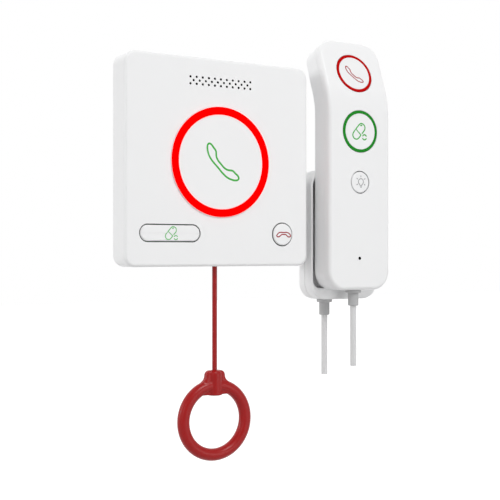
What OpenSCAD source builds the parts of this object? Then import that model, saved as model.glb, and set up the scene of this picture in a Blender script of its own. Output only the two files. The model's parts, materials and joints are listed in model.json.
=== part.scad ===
// Nurse call set: a wall call panel with a pull cord, and a call handset that hangs on its own cradle.
// Millimetres. X runs to the right, Y runs into the wall, Z runs up, and the wall is the plane y = 0.
// A "distance out" is measured from the wall towards the room, so it is minus y.

/* [Wall panel] */
// Width of the panel
panel_w = 120; // [116:1:140]
// Height of the panel
panel_h = 120; // [118:1:140]
// Distance from the wall to the front face
panel_d = 17; // [16.5:0.1:24]
// Corner radius of the panel in front view
panel_corner_r = 6.5; // [4:0.5:10]
// Rounding of the panel's front edge
panel_edge_r = 2; // [0.5:0.1:3]
// Wall thickness of the front cover
cover_wall = 2.2; // [1.8:0.1:2.6]
// Shadow gap between the cover's rim and the wall
cover_reveal = 0.4; // [0.2:0.1:1]
// Thickness of the wall plate
wall_plate_t = 3; // [2:0.1:3.4]
// Height of the stiffening lip on the wall plate
plate_lip_h = 1.5; // [0.5:0.1:1.8]
// Clearance between the wall plate and the cover
plate_clearance = 0.4; // [0.2:0.1:0.8]
// Distance between the two wall screws of the panel
wall_screw_spacing = 60; // [50:1:80]
// Diameter of the wall screw holes
wall_screw_d = 4.2; // [3.5:0.1:5]
// Width of the cable entry in the wall plate
cable_entry_w = 48; // [30:1:56]
// Height of the cable entry in the wall plate
cable_entry_h = 30; // [24:1:34]
// Height of the cable entry's centre above the panel's centre
cable_entry_z = -22; // [-24:1:-20]

/* [Circuit board] */
// Free space between the wall plate and the circuit board
board_gap = 2; // [1.8:0.1:3]
// Thickness of the circuit board
board_t = 1.6; // [1:0.1:1.8]
// Diameter of the four screws that hold the circuit board
board_screw_d = 2.2; // [1.8:0.1:2.6]

/* [Call button] */
// Height of the call button's centre above the panel's centre
call_z = 0.4; // [-2:0.1:1]
// Distance from the middle row of speaker holes down to the red light ring
call_below_speaker = 14.15; // [14:0.05:18]
// Width of the red light ring
call_ring_w = 4.35; // [3:0.05:5]
// How far the call button stands proud of the panel
call_raise = 1.2; // [1.1:0.1:2]
// Running gap round the call button
call_gap = 0.25; // [0.15:0.05:0.5]
// Travel of the buttons on the panel
press_travel = 1; // [0.5:0.1:1]

/* [Small buttons] */
// Width of the medication button
medication_w = 37; // [24:0.5:38]
// Height of the medication button
medication_h = 9.1; // [8.5:0.1:10]
// Distance of the medication button's centre from the panel's left edge
medication_from_left = 27.8; // [26:0.1:30]
// Height of the medication button's centre above the panel's bottom edge
medication_from_bottom = 19; // [17:0.1:19]
// How far the medication button stands proud
medication_raise = 0.3; // [0.1:0.1:1]
// Diameter of the cancel button
cancel_d = 12.8; // [10:0.1:14]
// Distance of the cancel button's centre from the panel's right edge
cancel_from_right = 18.2; // [15:0.1:22]
// Height of the cancel button's centre above the panel's bottom edge
cancel_from_bottom = 18.9; // [17:0.1:20]
// How far the cancel button stands proud
cancel_raise = 0.6; // [0.1:0.1:1]
// Visible gap round the small buttons
key_gap = 0.6; // [0.3:0.05:0.8]

/* [Speaker] */
// Distance of the middle row of speaker holes from the panel's top edge
speaker_from_top = 13.6; // [13.5:0.1:14.5]
// Number of holes in the outer rows
speaker_columns = 11; // [5:1:13]
// Distance between neighbouring holes in a row
speaker_pitch = 3.93; // [3.2:0.01:4.2]
// Distance between the rows
speaker_row_pitch = 1.97; // [1.7:0.01:2.2]
// Diameter of one speaker hole
speaker_hole_d = 1.3; // [0.8:0.1:1.5]

/* [Pull cord] */
// Diameter of the pull cord
pull_cord_d = 2.9; // [2:0.1:3.2]
// Distance of the pull cord from the wall
pull_cord_out = 9.2; // [9:0.1:9.4]
// Travel of the pull cord
pull_travel = 6; // [3:0.5:6]
// Outer diameter of the pull ring
pull_ring_d = 47.9; // [40:0.1:60]
// Thickness of the pull ring's round bar
pull_ring_bar_d = 7.2; // [5:0.1:8]
// Width of the knob above the pull ring
knob_w = 12.3; // [11:0.1:15]
// Height of the knob
knob_h = 14.6; // [13:0.1:17]
// Diameter of the round boss through the knob
knob_boss_d = 8.6; // [7.5:0.1:10]
// Thickness of the knob's web
knob_web_t = 4.6; // [4:0.1:6.5]

/* [Cradle] */
// Gap between the panel and the cradle on the wall
unit_gap = 5; // [2:0.5:40]
// Width of the cradle
cradle_w = 50.2; // [49.5:0.1:58]
// Height of the cradle
cradle_h = 80.9; // [80:0.1:90]
// Height of the cradle's top edge above the panel's centre
cradle_top = -0.3; // [-1:0.1:2]
// Distance from the wall to the cradle's front rim
cradle_d = 13.9; // [13.5:0.1:18]
// Corner radius of the cradle in front view
cradle_corner_r = 10.5; // [8:0.5:14]
// Distance of the seam between the cradle's plate and body from the wall
cradle_seam = 6.1; // [5.5:0.1:6.5]
// Width of the cradle's side rims
cradle_rim = 1.1; // [0.9:0.1:1.6]
// Height of the lip above the pocket
pocket_top_lip = 5; // [5:0.1:8]
// Height of the lip below the pocket
pocket_bottom_lip = 7.2; // [6.5:0.1:9]
// Thickness of the pocket's floor
pocket_floor_t = 2.2; // [1.8:0.1:2.6]
// Distance between the two wall screws of the cradle
cradle_screw_spacing = 45; // [40:1:46]
// Diameter of the holding magnets
magnet_d = 12; // [8:0.5:14]

/* [Handset] */
// Width of the handset
handset_w = 45.8; // [44:0.1:47]
// Thickness of the handset
handset_t = 15.8; // [14:0.1:18]
// Gap between the cradle's rim and the handset's back
handset_stand_off = 0.3; // [0.2:0.1:1]
// Length of the straight lower part
handset_lower = 107.5; // [104:0.5:115]
// Length of the straight part above the bend
handset_upper = 31.4; // [30:0.1:36]
// Angle by which the top leans back to the wall
handset_lean = 20; // [10:1:22]
// Bend radius of the handset's back
handset_bend_r = 38; // [30:1:45]
// Corner radius of the handset in front view
handset_corner_r = 12; // [10:0.5:13]
// Rounding of the handset's front edge
handset_edge_r = 2.3; // [1.5:0.1:4.5]
// Rounding of the handset's back edge
handset_back_r = 0.6; // [0.5:0.1:2]
// Wall thickness of the handset's shells
handset_wall = 2; // [1.6:0.1:2.2]
// Thickness of the front shell at the seam
handset_seam = 4.8; // [4.3:0.1:5]

/* [Handset buttons] */
// Outer radius of the two light rings
handset_ring_r = 12.8; // [10:0.1:13]
// Width of the two light rings
handset_ring_w = 1.75; // [1.2:0.05:2.5]
// Diameter of the light button
light_key_d = 13.2; // [10:0.1:14]
// How far the handset's buttons stand proud
handset_key_raise = 0.2; // [0.2:0.1:0.8]
// Running gap round the ringed buttons
handset_key_gap = 0.25; // [0.15:0.05:0.4]
// Travel of the handset's buttons
handset_travel = 0.8; // [0.4:0.1:0.9]
// Distance of the call button above the end of the bend
handset_call_up = 8.7; // [8:0.1:10]
// Distance of the medication button below the start of the bend
medication_below_bend = 10.1; // [9.5:0.1:14]
// Distance of the light button below the start of the bend
light_key_below_bend = 41.3; // [38:0.1:44]
// Height of the microphone above the handset's bottom
microphone_up = 19.5; // [17:0.5:35]
// Diameter of the microphone hole
microphone_hole_d = 1.8; // [0.8:0.1:2]

/* [Cables] */
// Diameter of the two cables
cable_d = 3.85; // [3:0.05:4.5]
// Diameter of the strain relief's sleeve
sleeve_d = 6.5; // [5.5:0.1:7]
// Length of the strain relief's sleeve
sleeve_l = 8; // [6:0.5:8]
// Diameter of the strain relief's flange
flange_d = 9.7; // [8:0.1:11]
// Thickness of the strain relief's flange
flange_t = 1.8; // [1.2:0.1:1.8]
// Distance of the handset's cable from the wall
handset_cable_out = 22.8; // [22.5:0.1:23]
// Distance of the cradle's cable from the cradle's centre line
cradle_cable_x = -11.2; // [-12:0.1:-10.5]
// Distance of the cradle's cable from the wall
cradle_cable_out = 7.5; // [7:0.1:8]

/* [Hidden] */

$fn = 64;

// Colours
WHITE = [0.93, 0.93, 0.93];
PALE_GREY = [0.82, 0.82, 0.82];
SILICONE = [0.75, 0.77, 0.8];
RED_LIGHT = [1, 0, 0];
HANDSET_RED = [0.75, 0, 0];
HANDSET_GREEN = [0.12, 0.55, 0.15];
CORD_RED = [0.6, 0.1, 0.1];
BOARD_GREEN = [0.1, 0.35, 0.2];
STEEL = [0.7, 0.7, 0.72];
BLACK = [0.08, 0.08, 0.08];

// Clearances and small sizes that many pieces share
rest_gap = 0.3;
screw_play = 0.05;
seat_play = 0.1;
flange_play = 0.3;
contact_play = 0.05;

// Wall panel
cover_in = panel_d - cover_wall;
inner_w = panel_w - 2 * cover_wall;
inner_h = panel_h - 2 * cover_wall;
inner_corner_r = panel_corner_r - cover_wall;
plate_w = inner_w - 2 * plate_clearance;
plate_h = inner_h - 2 * plate_clearance;
plate_corner_r = inner_corner_r - plate_clearance;
lip_t = 1.5;
lug_from_side = 22;
lug_x = panel_w / 2 - lug_from_side;
lug_w = 8;
lug_t = 3;
lug_h = 6;
tongue_h = 1.2;
tongue_t = 2;
cover_screw_d = 2.9;
cover_screw_head_d = 5;
cover_screw_head_h = 1.2;
cover_screw_l = 6.2;
cover_screw_out = wall_plate_t + lug_h / 2;
counterbore_play = 0.3;

// Circuit board of the panel
board_back = wall_plate_t + board_gap;
board_front = board_back + board_t;
board_inset = 2.8;
board_w = inner_w - 2 * board_inset;
board_top = inner_h / 2 - board_inset;
board_bottom = -inner_h / 2 + lug_t + 1.3;
board_h = board_top - board_bottom;
boss_d = 5;
boss_x = board_w / 2 - 4;
boss_top_z = board_top - 4;
boss_bottom_z = board_bottom + 3.5;
boss_places = [for (sx = [-1, 1], z = [boss_top_z, boss_bottom_z]) [sx * boss_x, z]];
board_screw_l = 6;
board_screw_head_d = 4.4;
board_screw_head_h = 1.2;
terminal_w = 32;
terminal_h = 9;
terminal_ways = 6;
terminal_z = cable_entry_z + cable_entry_h / 2 - terminal_h / 2 - 1.5;
terminal_back = 0.8;

// Switches, springs and buttons of the panel
speaker_z = panel_h / 2 - speaker_from_top;
medication_x = medication_from_left - panel_w / 2;
medication_z = medication_from_bottom - panel_h / 2;
cancel_x = panel_w / 2 - cancel_from_right;
cancel_z = cancel_from_bottom - panel_h / 2;
call_ring_r = speaker_z - call_z - call_below_speaker;
switch_w = 6;
switch_h = 3.5;
switch_stem_r = 1.7;
switch_stem_h = 0.8;
switch_top = board_front + switch_h + switch_stem_h;
plunger_end = switch_top + press_travel + contact_play;
plunger_r = 2;
spring_wire_r = 0.35;
spring_r = 4.8;
key_spring_r = 2.55;
flange_front = cover_in - flange_play;
button_flange_t = 1.2;
button_flange_w = 1.5;
cap_t = 2;
key_cap_t = 1.8;
key_edge_r = 0.8;
call_disc_r = call_ring_r - call_ring_w;
call_hole_r = call_ring_r + call_gap;
call_top = panel_d + call_raise;
ring_chamfer = 0.35;
led_count = 12;
led_w = 3;
led_h = 1.5;

// Speaker
gauze_t = 0.3;
gauze_margin = 2;
speaker_w = 44;
speaker_h = 20;
speaker_t = 5.6;
speaker_corner_r = 3;
speaker_front = cover_in - gauze_t;
speaker_rim_t = 1.2;
speaker_rim_h = 4;

// Pull cord mechanism
bottom_in = -inner_h / 2;
bush_r = 2.95;
bush_bore_r = pull_cord_d / 2 + 0.15;
bush_flange_r = 4;
bush_flange_t = 1;
guide_w = 16;
guide_wall = 1.2;
guide_reach = 23.1;
guide_top = bottom_in + guide_reach;
guide_bottom = bottom_in + bush_flange_t + seat_play;
guide_floor = guide_bottom + 1;
guide_back = board_front;
guide_out = 2 * pull_cord_out - guide_back;
guide_skin = 0.7;
slider_play = 0.25;
slider_h = 8;
slider_top = guide_top - 1;
slider_bottom = slider_top - slider_h;
slider_tab_t = 1.5;
slider_tab_z = slider_bottom + 2;
slider_tab_end = 11.5;
pull_spring_r = 1.2;
pull_spring_x = 4.2;
pull_spring_wire_r = 0.25;
pull_switch_x = 9.3;
pull_switch_w = 8;
pull_switch_t = 5;
pull_switch_top = slider_tab_z - pull_travel - 0.5;
pull_switch_stem_h = 1;
pull_switch_bottom = bottom_in + 1.5;

// Pull ring
ring_r = (pull_ring_d - pull_ring_bar_d) / 2;
ring_bar_r = pull_ring_bar_d / 2;
knob_top = -120.8;
knob_bottom = knob_top - knob_h;
knob_above_ring = 5.15;
ring_z = knob_top - knob_above_ring - pull_ring_d / 2;
knob_round_r = 3;
knob_fillet_r = 4;
knob_side_min = 0.1;
knob_step = 0.3;

// Routes of the cords, straight down under their own weight
PULL_CORD_ROUTE = [for (z = [slider_bottom, -50, -57, -64, -71, -78, -85, -92, -99, -106, -113, knob_top])
    [0, -pull_cord_out, z]];
HANDSET_CORD_END = -122.2;
CRADLE_CORD_END = -128.2;

// Strain reliefs
plug_r = 2.6;
plug_l = 5;

// Cradle
cradle_x = panel_w / 2 + unit_gap + cradle_w / 2;
cradle_bottom = cradle_top - cradle_h;
cradle_z = (cradle_top + cradle_bottom) / 2;
cradle_edge_r = 1;
cradle_wall = 2;
cradle_floor_t = 2;
pocket_floor = cradle_seam + pocket_floor_t;
pocket_w = cradle_w - 2 * cradle_rim;
pocket_top = cradle_top - pocket_top_lip;
pocket_bottom = cradle_bottom + pocket_bottom_lip;
pocket_h = pocket_top - pocket_bottom;
pocket_z = (pocket_top + pocket_bottom) / 2;
pocket_corner_r = 5;
cradle_screw_d = 2.9;
cradle_screw_head_d = 5.2;
cradle_screw_head_h = 1.6;
cradle_screw_l = 6;
cradle_boss_d = 7;
cradle_boss_z = [pocket_top - 4.7, pocket_bottom + 4];
magnet_t = 1.5;
cradle_board_w = 26;
cradle_board_h = 18;
cradle_board_t = 1.2;
cradle_board_z = cradle_z + 2;
guide_rib_t = 1.2;
guide_rib_h = 3;
guide_rib_l = 24;
guide_rib_up = 20;
guide_rib_play = 0.4;

// Handset, drawn upright and then leant back above the bend
handset_x = cradle_x;
handset_back = cradle_d + handset_stand_off;
handset_front = handset_back + handset_t;
handset_bottom = pocket_bottom - 1;
bend_z = handset_bottom + handset_lower;
bend_centre_y = handset_bend_r - handset_back;
seam_out = handset_front - handset_seam;
seam_gap = 0.15;
inner_back = handset_back + handset_wall;
inner_front = handset_front - handset_wall;
foot_side_room = 6;
foot_top_room = 18.7;
foot_w = pocket_w - 2 * foot_side_room;
foot_h = pocket_h - foot_top_room;
foot_back = pocket_floor + rest_gap;
foot_bottom = pocket_bottom + rest_gap;
foot_corner_r = 4;
foot_z = foot_bottom + foot_h / 2;
keeper_side = 5;
keeper_end = 4;
keeper_w = foot_w - 2 * keeper_side;
keeper_h = foot_h - 2 * keeper_end;
keeper_t = 1.2;
keeper_corner_r = 3;
magnet_reach = 0.4 * (keeper_h - magnet_d);
magnet_z = [foot_z - magnet_reach, foot_z + magnet_reach];
handset_medication_z = bend_z - medication_below_bend;
light_key_z = bend_z - light_key_below_bend;
microphone_z = handset_bottom + microphone_up;
post_r = 2.2;
post_x = handset_w / 2 - handset_wall - post_r - 0.2;
upper_post_up = 13.8;
lower_post_up = 13;
post_z = [light_key_z + upper_post_up, handset_bottom + lower_post_up];
top_post_z = bend_z + handset_upper - handset_wall - post_r - 0.5;
handset_screw_d = 2;
handset_screw_l = 10.4;
handset_screw_head_d = 3.6;
handset_screw_head_h = 1;
handset_screw_well_r = 2.7;
handset_board_t = 1.2;
handset_board_out = inner_back + 4.3;
handset_board_front = handset_board_out + handset_board_t;
handset_board_w = 2 * (post_x - post_r - 0.4);
handset_board_top = bend_z - 2.5;
handset_board_bottom = handset_bottom + 9;
call_board_bottom = bend_z + 1.5;
call_board_top = top_post_z - post_r - 0.6;
standoff_w = 3;
middle_standoff_down = 15.2;
middle_standoff_z = light_key_z - middle_standoff_down;
handset_flange_t = 1;
handset_flange_w = 0.8;
handset_flange_front = inner_front - 0.5;
handset_cap_t = 1.6;
handset_disc_r = handset_ring_r - handset_ring_w;
handset_key_top = handset_front + handset_key_raise;
call_key_z = bend_z + handset_call_up;
mat_t = 0.8;
mat_w = 20;
mat_end = 7;
mat_corner_r = 4;
dome_r = 4;
dome_top = handset_flange_front - handset_flange_t - 0.9;
handset_plunger_end = dome_top + handset_travel + contact_play;
microphone_r = 3;

// Two-dimensional and three-dimensional helpers

// Rectangle with rounded corners, centred
module rounded_rect(w, h, r) {
    square([w - 2 * r, h], center = true);
    square([w, h - 2 * r], center = true);
    for (sx = [-1, 1], sy = [-1, 1])
        translate([sx * (w / 2 - r), sy * (h / 2 - r)]) circle(r);
}

// Oblong with round ends, centred
module oblong(w, h) {
    square([w - h, h], center = true);
    for (sx = [-1, 1]) translate([sx * (w - h) / 2, 0]) circle(h / 2);
}

// Thickens a front-view outline between two distances out from the wall
module outwards(from, to) {
    translate([0, -from, 0]) rotate([90, 0, 0]) linear_extrude(to - from) children();
}

// Turns a profile of radius and distance out about an axis square to the wall
module turned_out() {
    rotate([90, 0, 0]) rotate_extrude() children();
}

// Round bar or hole square to the wall
module bar_out(r, from, to) {
    translate([0, -from, 0]) rotate([90, 0, 0]) cylinder(r = r, h = to - from);
}

// Box given by its width, its span of distances out and its span of heights
module box_out(x0, x1, from, to, z0, z1) {
    translate([x0, -to, z0]) cube([x1 - x0, to - from, z1 - z0]);
}

// Rounded slab whose front edge has a fillet
module filleted_slab(w, h, from, to, corner_r, edge_r) {
    hull() for (sx = [-1, 1], sz = [-1, 1])
        translate([sx * (w / 2 - corner_r), 0, sz * (h / 2 - corner_r)])
            turned_out($fn = 48) polygon(concat(
                [[0, from], [corner_r, from]],
                [for (a = [0:15:90])
                    [corner_r - edge_r + edge_r * cos(a), to - edge_r + edge_r * sin(a)]],
                [[0, to]]));
}

// Screw square to the wall with its head's underside at a given distance out, driven from the wall side
module screw_from_back(d, l, head_d, head_h, under_head) {
    bar_out(head_d / 2, under_head - head_h, under_head);
    bar_out(d / 2, under_head, under_head + l);
}

// Screw square to the wall, driven from the room side
module screw_from_front(d, l, head_d, head_h, under_head) {
    bar_out(head_d / 2, under_head, under_head + head_h);
    bar_out(d / 2, under_head - l, under_head);
}

// Direction of a path at one of its points
function heading(path, i) =
    let (a = path[max(i - 1, 0)], b = path[min(i + 1, len(path) - 1)]) (b - a) / norm(b - a);

// Ring of points round a path's point
function ring_points(c, t, side, r, n) =
    let (u = cross(side, t) / norm(cross(side, t)), v = cross(t, u))
    [for (k = [0:n - 1]) c + r * (cos(360 * k / n) * u + sin(360 * k / n) * v)];

// Tube swept along a path, as one polyhedron
module tube(path, r, sides, side = [1, 0, 0]) {
    count = len(path);
    points = [for (i = [0:count - 1]) each ring_points(path[i], heading(path, i), side, r, sides)];
    last = (count - 1) * sides;
    first_cap = [for (k = [1:sides - 2]) [0, k, k + 1]];
    last_cap = [for (k = [1:sides - 2]) [last, last + k + 1, last + k]];
    walls = [for (i = [0:count - 2], k = [0:sides - 1])
        let (a = i * sides + k, b = i * sides + (k + 1) % sides)
        each [[a, a + sides, b + sides], [a, b + sides, b]]];
    polyhedron(points, concat(first_cap, walls, last_cap));
}

// Coil spring along +Z, standing on z = 0
module coil(r, wire_r, length, turns, steps = 10) {
    tube([for (i = [0:turns * steps])
        [r * cos(360 * i / steps), r * sin(360 * i / steps),
            wire_r + (length - 2 * wire_r) * i / (turns * steps)]],
        wire_r, 6, [0, 0, 1]);
}

// Coil spring square to the wall between two distances out
module coil_out(r, wire_r, from, to, turns) {
    translate([0, -from, 0]) rotate([90, 0, 0]) coil(r, wire_r, to - from, turns);
}

// Straight cable below its strain relief, with a ring of points about every 9 mm
function hanging(x, out, top, bottom) =
    let (steps = 4) [for (i = [0:steps]) [x, -out, top + (bottom - top) * i / steps]];

// Wall panel

// Plate that is screwed to the wall and carries the cover
module wall_plate() color(PALE_GREY) difference() {
    union() {
        outwards(0, wall_plate_t) rounded_rect(plate_w, plate_h, plate_corner_r);
        outwards(wall_plate_t, wall_plate_t + plate_lip_h) difference() {
            rounded_rect(plate_w, plate_h, plate_corner_r);
            rounded_rect(plate_w - 2 * lip_t, plate_h - 2 * lip_t, plate_corner_r - lip_t);
        }
        for (sx = [-1, 1]) {
            box_out(sx * lug_x - lug_w / 2, sx * lug_x + lug_w / 2, wall_plate_t - 1,
                wall_plate_t + lug_h, -plate_h / 2, -plate_h / 2 + lug_t);
            box_out(sx * lug_x - lug_w / 2, sx * lug_x + lug_w / 2, wall_plate_t - tongue_t,
                wall_plate_t, plate_h / 2 - 1, plate_h / 2 + tongue_h);
        }
    }
    for (sx = [-1, 1]) {
        translate([sx * wall_screw_spacing / 2, 0, 0]) bar_out(wall_screw_d / 2, -1, wall_plate_t + 1);
        translate([sx * lug_x, -cover_screw_out, -plate_h / 2 - 1])
            cylinder(d = cover_screw_d + 2 * screw_play, h = lug_t + 2);
    }
    translate([0, 0, cable_entry_z]) outwards(-1, wall_plate_t + 1)
        rounded_rect(cable_entry_w, cable_entry_h, 3);
}

// Places of the speaker holes, each outer row's holes between the middle row's
function speaker_places() = [for (row = [-1:1], i = [0:speaker_columns - 1 - (row == 0 ? 1 : 0)])
    [(i - (speaker_columns - 1 - (row == 0 ? 1 : 0)) / 2) * speaker_pitch,
        speaker_z + row * speaker_row_pitch]];

// White shell over everything on the wall plate
module front_cover() color(WHITE) difference() {
    union() {
        difference() {
            filleted_slab(panel_w, panel_h, cover_reveal, panel_d, panel_corner_r, panel_edge_r);
            outwards(cover_reveal - 1, cover_in) rounded_rect(inner_w, inner_h, inner_corner_r);
        }
        for (p = boss_places) translate([p[0], 0, p[1]]) bar_out(boss_d / 2, board_front, cover_in + 0.5);
        translate([0, 0, speaker_z]) outwards(cover_in - speaker_rim_h, cover_in + 0.5) difference() {
            rounded_rect(speaker_w + 2 * (seat_play + speaker_rim_t),
                speaker_h + 2 * (seat_play + speaker_rim_t), speaker_corner_r + 1);
            rounded_rect(speaker_w + 2 * seat_play, speaker_h + 2 * seat_play, speaker_corner_r);
        }
    }
    for (p = boss_places) translate([p[0], 0, p[1]])
        bar_out(board_screw_d / 2 + screw_play, board_front - 1, board_front + board_screw_l);
    for (p = speaker_places()) translate([p[0], 0, p[1]])
        bar_out(speaker_hole_d / 2, cover_in - 1, panel_d + 1, $fn = 24);
    translate([0, 0, call_z]) bar_out(call_hole_r, cover_in - 1, panel_d + 1, $fn = 128);
    translate([medication_x, 0, medication_z]) outwards(cover_in - 1, panel_d + 1)
        oblong(medication_w + 2 * key_gap, medication_h + 2 * key_gap);
    translate([cancel_x, 0, cancel_z]) bar_out(cancel_d / 2 + key_gap, cover_in - 1, panel_d + 1);
    translate([0, -pull_cord_out, -panel_h / 2 - 1])
        cylinder(r = bush_r + screw_play, h = cover_wall + 2);
    for (sx = [-1, 1]) {
        translate([sx * lug_x, -cover_screw_out, -panel_h / 2 - 1]) {
            cylinder(d = cover_screw_d + 2 * seat_play, h = cover_wall + 2);
            cylinder(d = cover_screw_head_d + counterbore_play, h = 1 + cover_screw_head_h);
        }
        box_out(sx * lug_x - lug_w / 2 - seat_play, sx * lug_x + lug_w / 2 + seat_play,
            wall_plate_t - tongue_t - seat_play, wall_plate_t + seat_play,
            inner_h / 2 - 1, plate_h / 2 + tongue_h + seat_play);
    }
}

// Two screws in the bottom edge that hold the cover on the wall plate
module cover_screws() color(STEEL) for (sx = [-1, 1])
    translate([sx * lug_x, -cover_screw_out, -panel_h / 2]) {
        cylinder(d = cover_screw_head_d, h = cover_screw_head_h, $fn = 32);
        translate([0, 0, cover_screw_head_h])
            cylinder(d = cover_screw_d, h = cover_screw_l - cover_screw_head_h, $fn = 32);
    }

// Black cloth behind the speaker holes
module speaker_gauze() color(BLACK) translate([0, 0, speaker_z])
    outwards(speaker_front, cover_in) rounded_rect(speaker_w - gauze_margin, speaker_h - gauze_margin,
        speaker_corner_r);

// Small oval loudspeaker, open side to the holes, magnet to the wall
module speaker() color(STEEL) translate([0, 0, speaker_z]) difference() {
    union() {
        outwards(speaker_front - speaker_t / 2, speaker_front)
            rounded_rect(speaker_w, speaker_h, speaker_corner_r);
        outwards(speaker_front - speaker_t, speaker_front - speaker_t / 2)
            rounded_rect(speaker_w / 2, speaker_h - 4, speaker_corner_r);
    }
    outwards(speaker_front - 1.2, speaker_front + 1) oblong(speaker_w - 4, speaker_h - 4);
}

// Circuit board behind the buttons, screwed to the cover's bosses
module panel_board() color(BOARD_GREEN) difference() {
    translate([0, 0, (board_top + board_bottom) / 2])
        outwards(board_back, board_front) rounded_rect(board_w, board_h, 3);
    for (p = boss_places) translate([p[0], 0, p[1]])
        bar_out(board_screw_d / 2 + seat_play, board_back - 1, board_front + 1);
}

// Four screws through the circuit board into the bosses
module board_screws() color(STEEL) for (p = boss_places) translate([p[0], 0, p[1]])
    screw_from_back(board_screw_d, board_screw_l + board_t - 0.5, board_screw_head_d,
        board_screw_head_h, board_back, $fn = 32);

// Screw terminals for the wall cable, in the cable entry
module terminal_block() color([0.2, 0.45, 0.25]) translate([0, 0, terminal_z]) difference() {
    box_out(-terminal_w / 2, terminal_w / 2, terminal_back, board_back, -terminal_h / 2, terminal_h / 2);
    for (i = [0:terminal_ways - 1]) {
        x = (i - (terminal_ways - 1) / 2) * terminal_w / terminal_ways;
        translate([x, -(terminal_back + board_back) / 2, -terminal_h / 2 - 1])
            cylinder(r = 1.2, h = 5, $fn = 24);
        translate([x, 0, 0]) bar_out(1.6, terminal_back - 1, terminal_back + 0.8, $fn = 24);
    }
}

// Push switch on the circuit board, with its stem towards the button
module push_switch() {
    outwards(board_front, board_front + switch_h) square(switch_w, center = true);
    bar_out(switch_stem_r, board_front + switch_h, switch_top, $fn = 24);
}

// Switch behind the call button
module call_switch() color(BLACK) translate([0, 0, call_z]) push_switch();

// Switches behind the two small buttons
module key_switches() color(BLACK) {
    translate([medication_x, 0, medication_z]) push_switch();
    translate([cancel_x, 0, cancel_z]) push_switch();
}

// Lamps that light the ring of the call button
module call_leds() color([0.95, 0.9, 0.7]) for (i = [0:led_count - 1])
    translate([0, 0, call_z]) rotate([0, 360 * i / led_count, 0])
        translate([call_ring_r - call_ring_w / 2, 0, 0])
            outwards(board_front, board_front + led_h) square(led_w, center = true);

// Profile of a round cap: disc, skirt and the flange that holds it behind the cover
module cap_profile(disc_r, top, disc_t, flange_r, flange_out, flange_thickness) {
    skirt_t = 1.6;
    polygon([[0, top - disc_t], [0, top], [disc_r, top], [disc_r, flange_out], [flange_r, flange_out],
        [flange_r, flange_out - flange_thickness], [disc_r - skirt_t, flange_out - flange_thickness],
        [disc_r - skirt_t, top - disc_t]]);
}

// Profile of a light ring that sits on the cap's flange
module ring_profile(r_in, r_out, from, to, chamfer) {
    polygon([[r_in, from], [r_out, from], [r_out, to - chamfer], [r_out - chamfer, to], [r_in, to]]);
}

// White disc of the large call button
module call_button() color(WHITE) translate([0, 0, call_z]) {
    turned_out($fn = 128) cap_profile(call_disc_r, call_top, cap_t, call_hole_r + button_flange_w,
        flange_front, button_flange_t);
    bar_out(plunger_r, plunger_end, call_top - cap_t);
}

// Red light ring round the call button's disc
module call_light_ring() color(RED_LIGHT) translate([0, 0, call_z])
    turned_out($fn = 128) ring_profile(call_disc_r, call_ring_r, flange_front, call_top, ring_chamfer);

// Return spring of the call button
module call_spring() color(STEEL) translate([0, 0, call_z])
    coil_out(spring_r, spring_wire_r, board_front, call_top - cap_t, 6);

// Section of a small button from its centre line to its rim, with a rounded top edge
module key_profile(half_w, top) {
    polygon(concat([[0, flange_front - button_flange_t],
        [half_w + key_gap + button_flange_w, flange_front - button_flange_t],
        [half_w + key_gap + button_flange_w, flange_front], [half_w, flange_front]],
        [for (a = [0:15:90])
            [half_w - key_edge_r * (1 - cos(a)), top - key_edge_r * (1 - sin(a))]],
        [[0, top]]));
}

// Hollow under a small button's cap
module key_hollow(w, h, top) {
    outwards(flange_front - button_flange_t - 1, top - key_cap_t) oblong(w - 3, h - 3);
}

// Oblong button with the medicine symbol
module medication_button() color(WHITE) translate([medication_x, 0, medication_z]) {
    top = panel_d + medication_raise;
    half = medication_h / 2;
    span = medication_w - medication_h;
    difference() {
        union() {
            for (sx = [-1, 1]) translate([sx * span / 2, 0, 0]) turned_out() key_profile(half, top);
            for (s = [0, 1]) mirror([0, 0, s]) translate([-span / 2, 0, 0]) rotate([90, 0, 90])
                linear_extrude(span) mirror([1, 0, 0]) rotate([0, 0, -90]) mirror([1, 0, 0])
                    key_profile(half, top);
        }
        key_hollow(medication_w, medication_h, top);
    }
    bar_out(plunger_r, plunger_end, top - key_cap_t);
}

// Return spring of the medication button
module medication_spring() color(STEEL) translate([medication_x, 0, medication_z])
    coil_out(key_spring_r, spring_wire_r, board_front + switch_h, panel_d + medication_raise - key_cap_t, 4);

// Round button that ends a call
module cancel_button() color(WHITE) translate([cancel_x, 0, cancel_z]) {
    top = panel_d + cancel_raise;
    difference() {
        turned_out() key_profile(cancel_d / 2, top);
        bar_out(cancel_d / 2 - 1.5, flange_front - button_flange_t - 1, top - key_cap_t);
    }
    bar_out(plunger_r, plunger_end, top - key_cap_t);
}

// Return spring of the cancel button
module cancel_spring() color(STEEL) translate([cancel_x, 0, cancel_z])
    coil_out(key_spring_r, spring_wire_r, board_front + switch_h, panel_d + cancel_raise - key_cap_t, 4);

// Pull cord

// Bush in the cover's bottom wall that the cord runs through
module cord_bush() color(WHITE) translate([0, -pull_cord_out, 0]) rotate_extrude()
    polygon([[bush_bore_r, -panel_h / 2], [bush_r, -panel_h / 2], [bush_r, bottom_in],
        [bush_flange_r, bottom_in], [bush_flange_r, bottom_in + bush_flange_t],
        [bush_bore_r, bottom_in + bush_flange_t]]);

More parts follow.
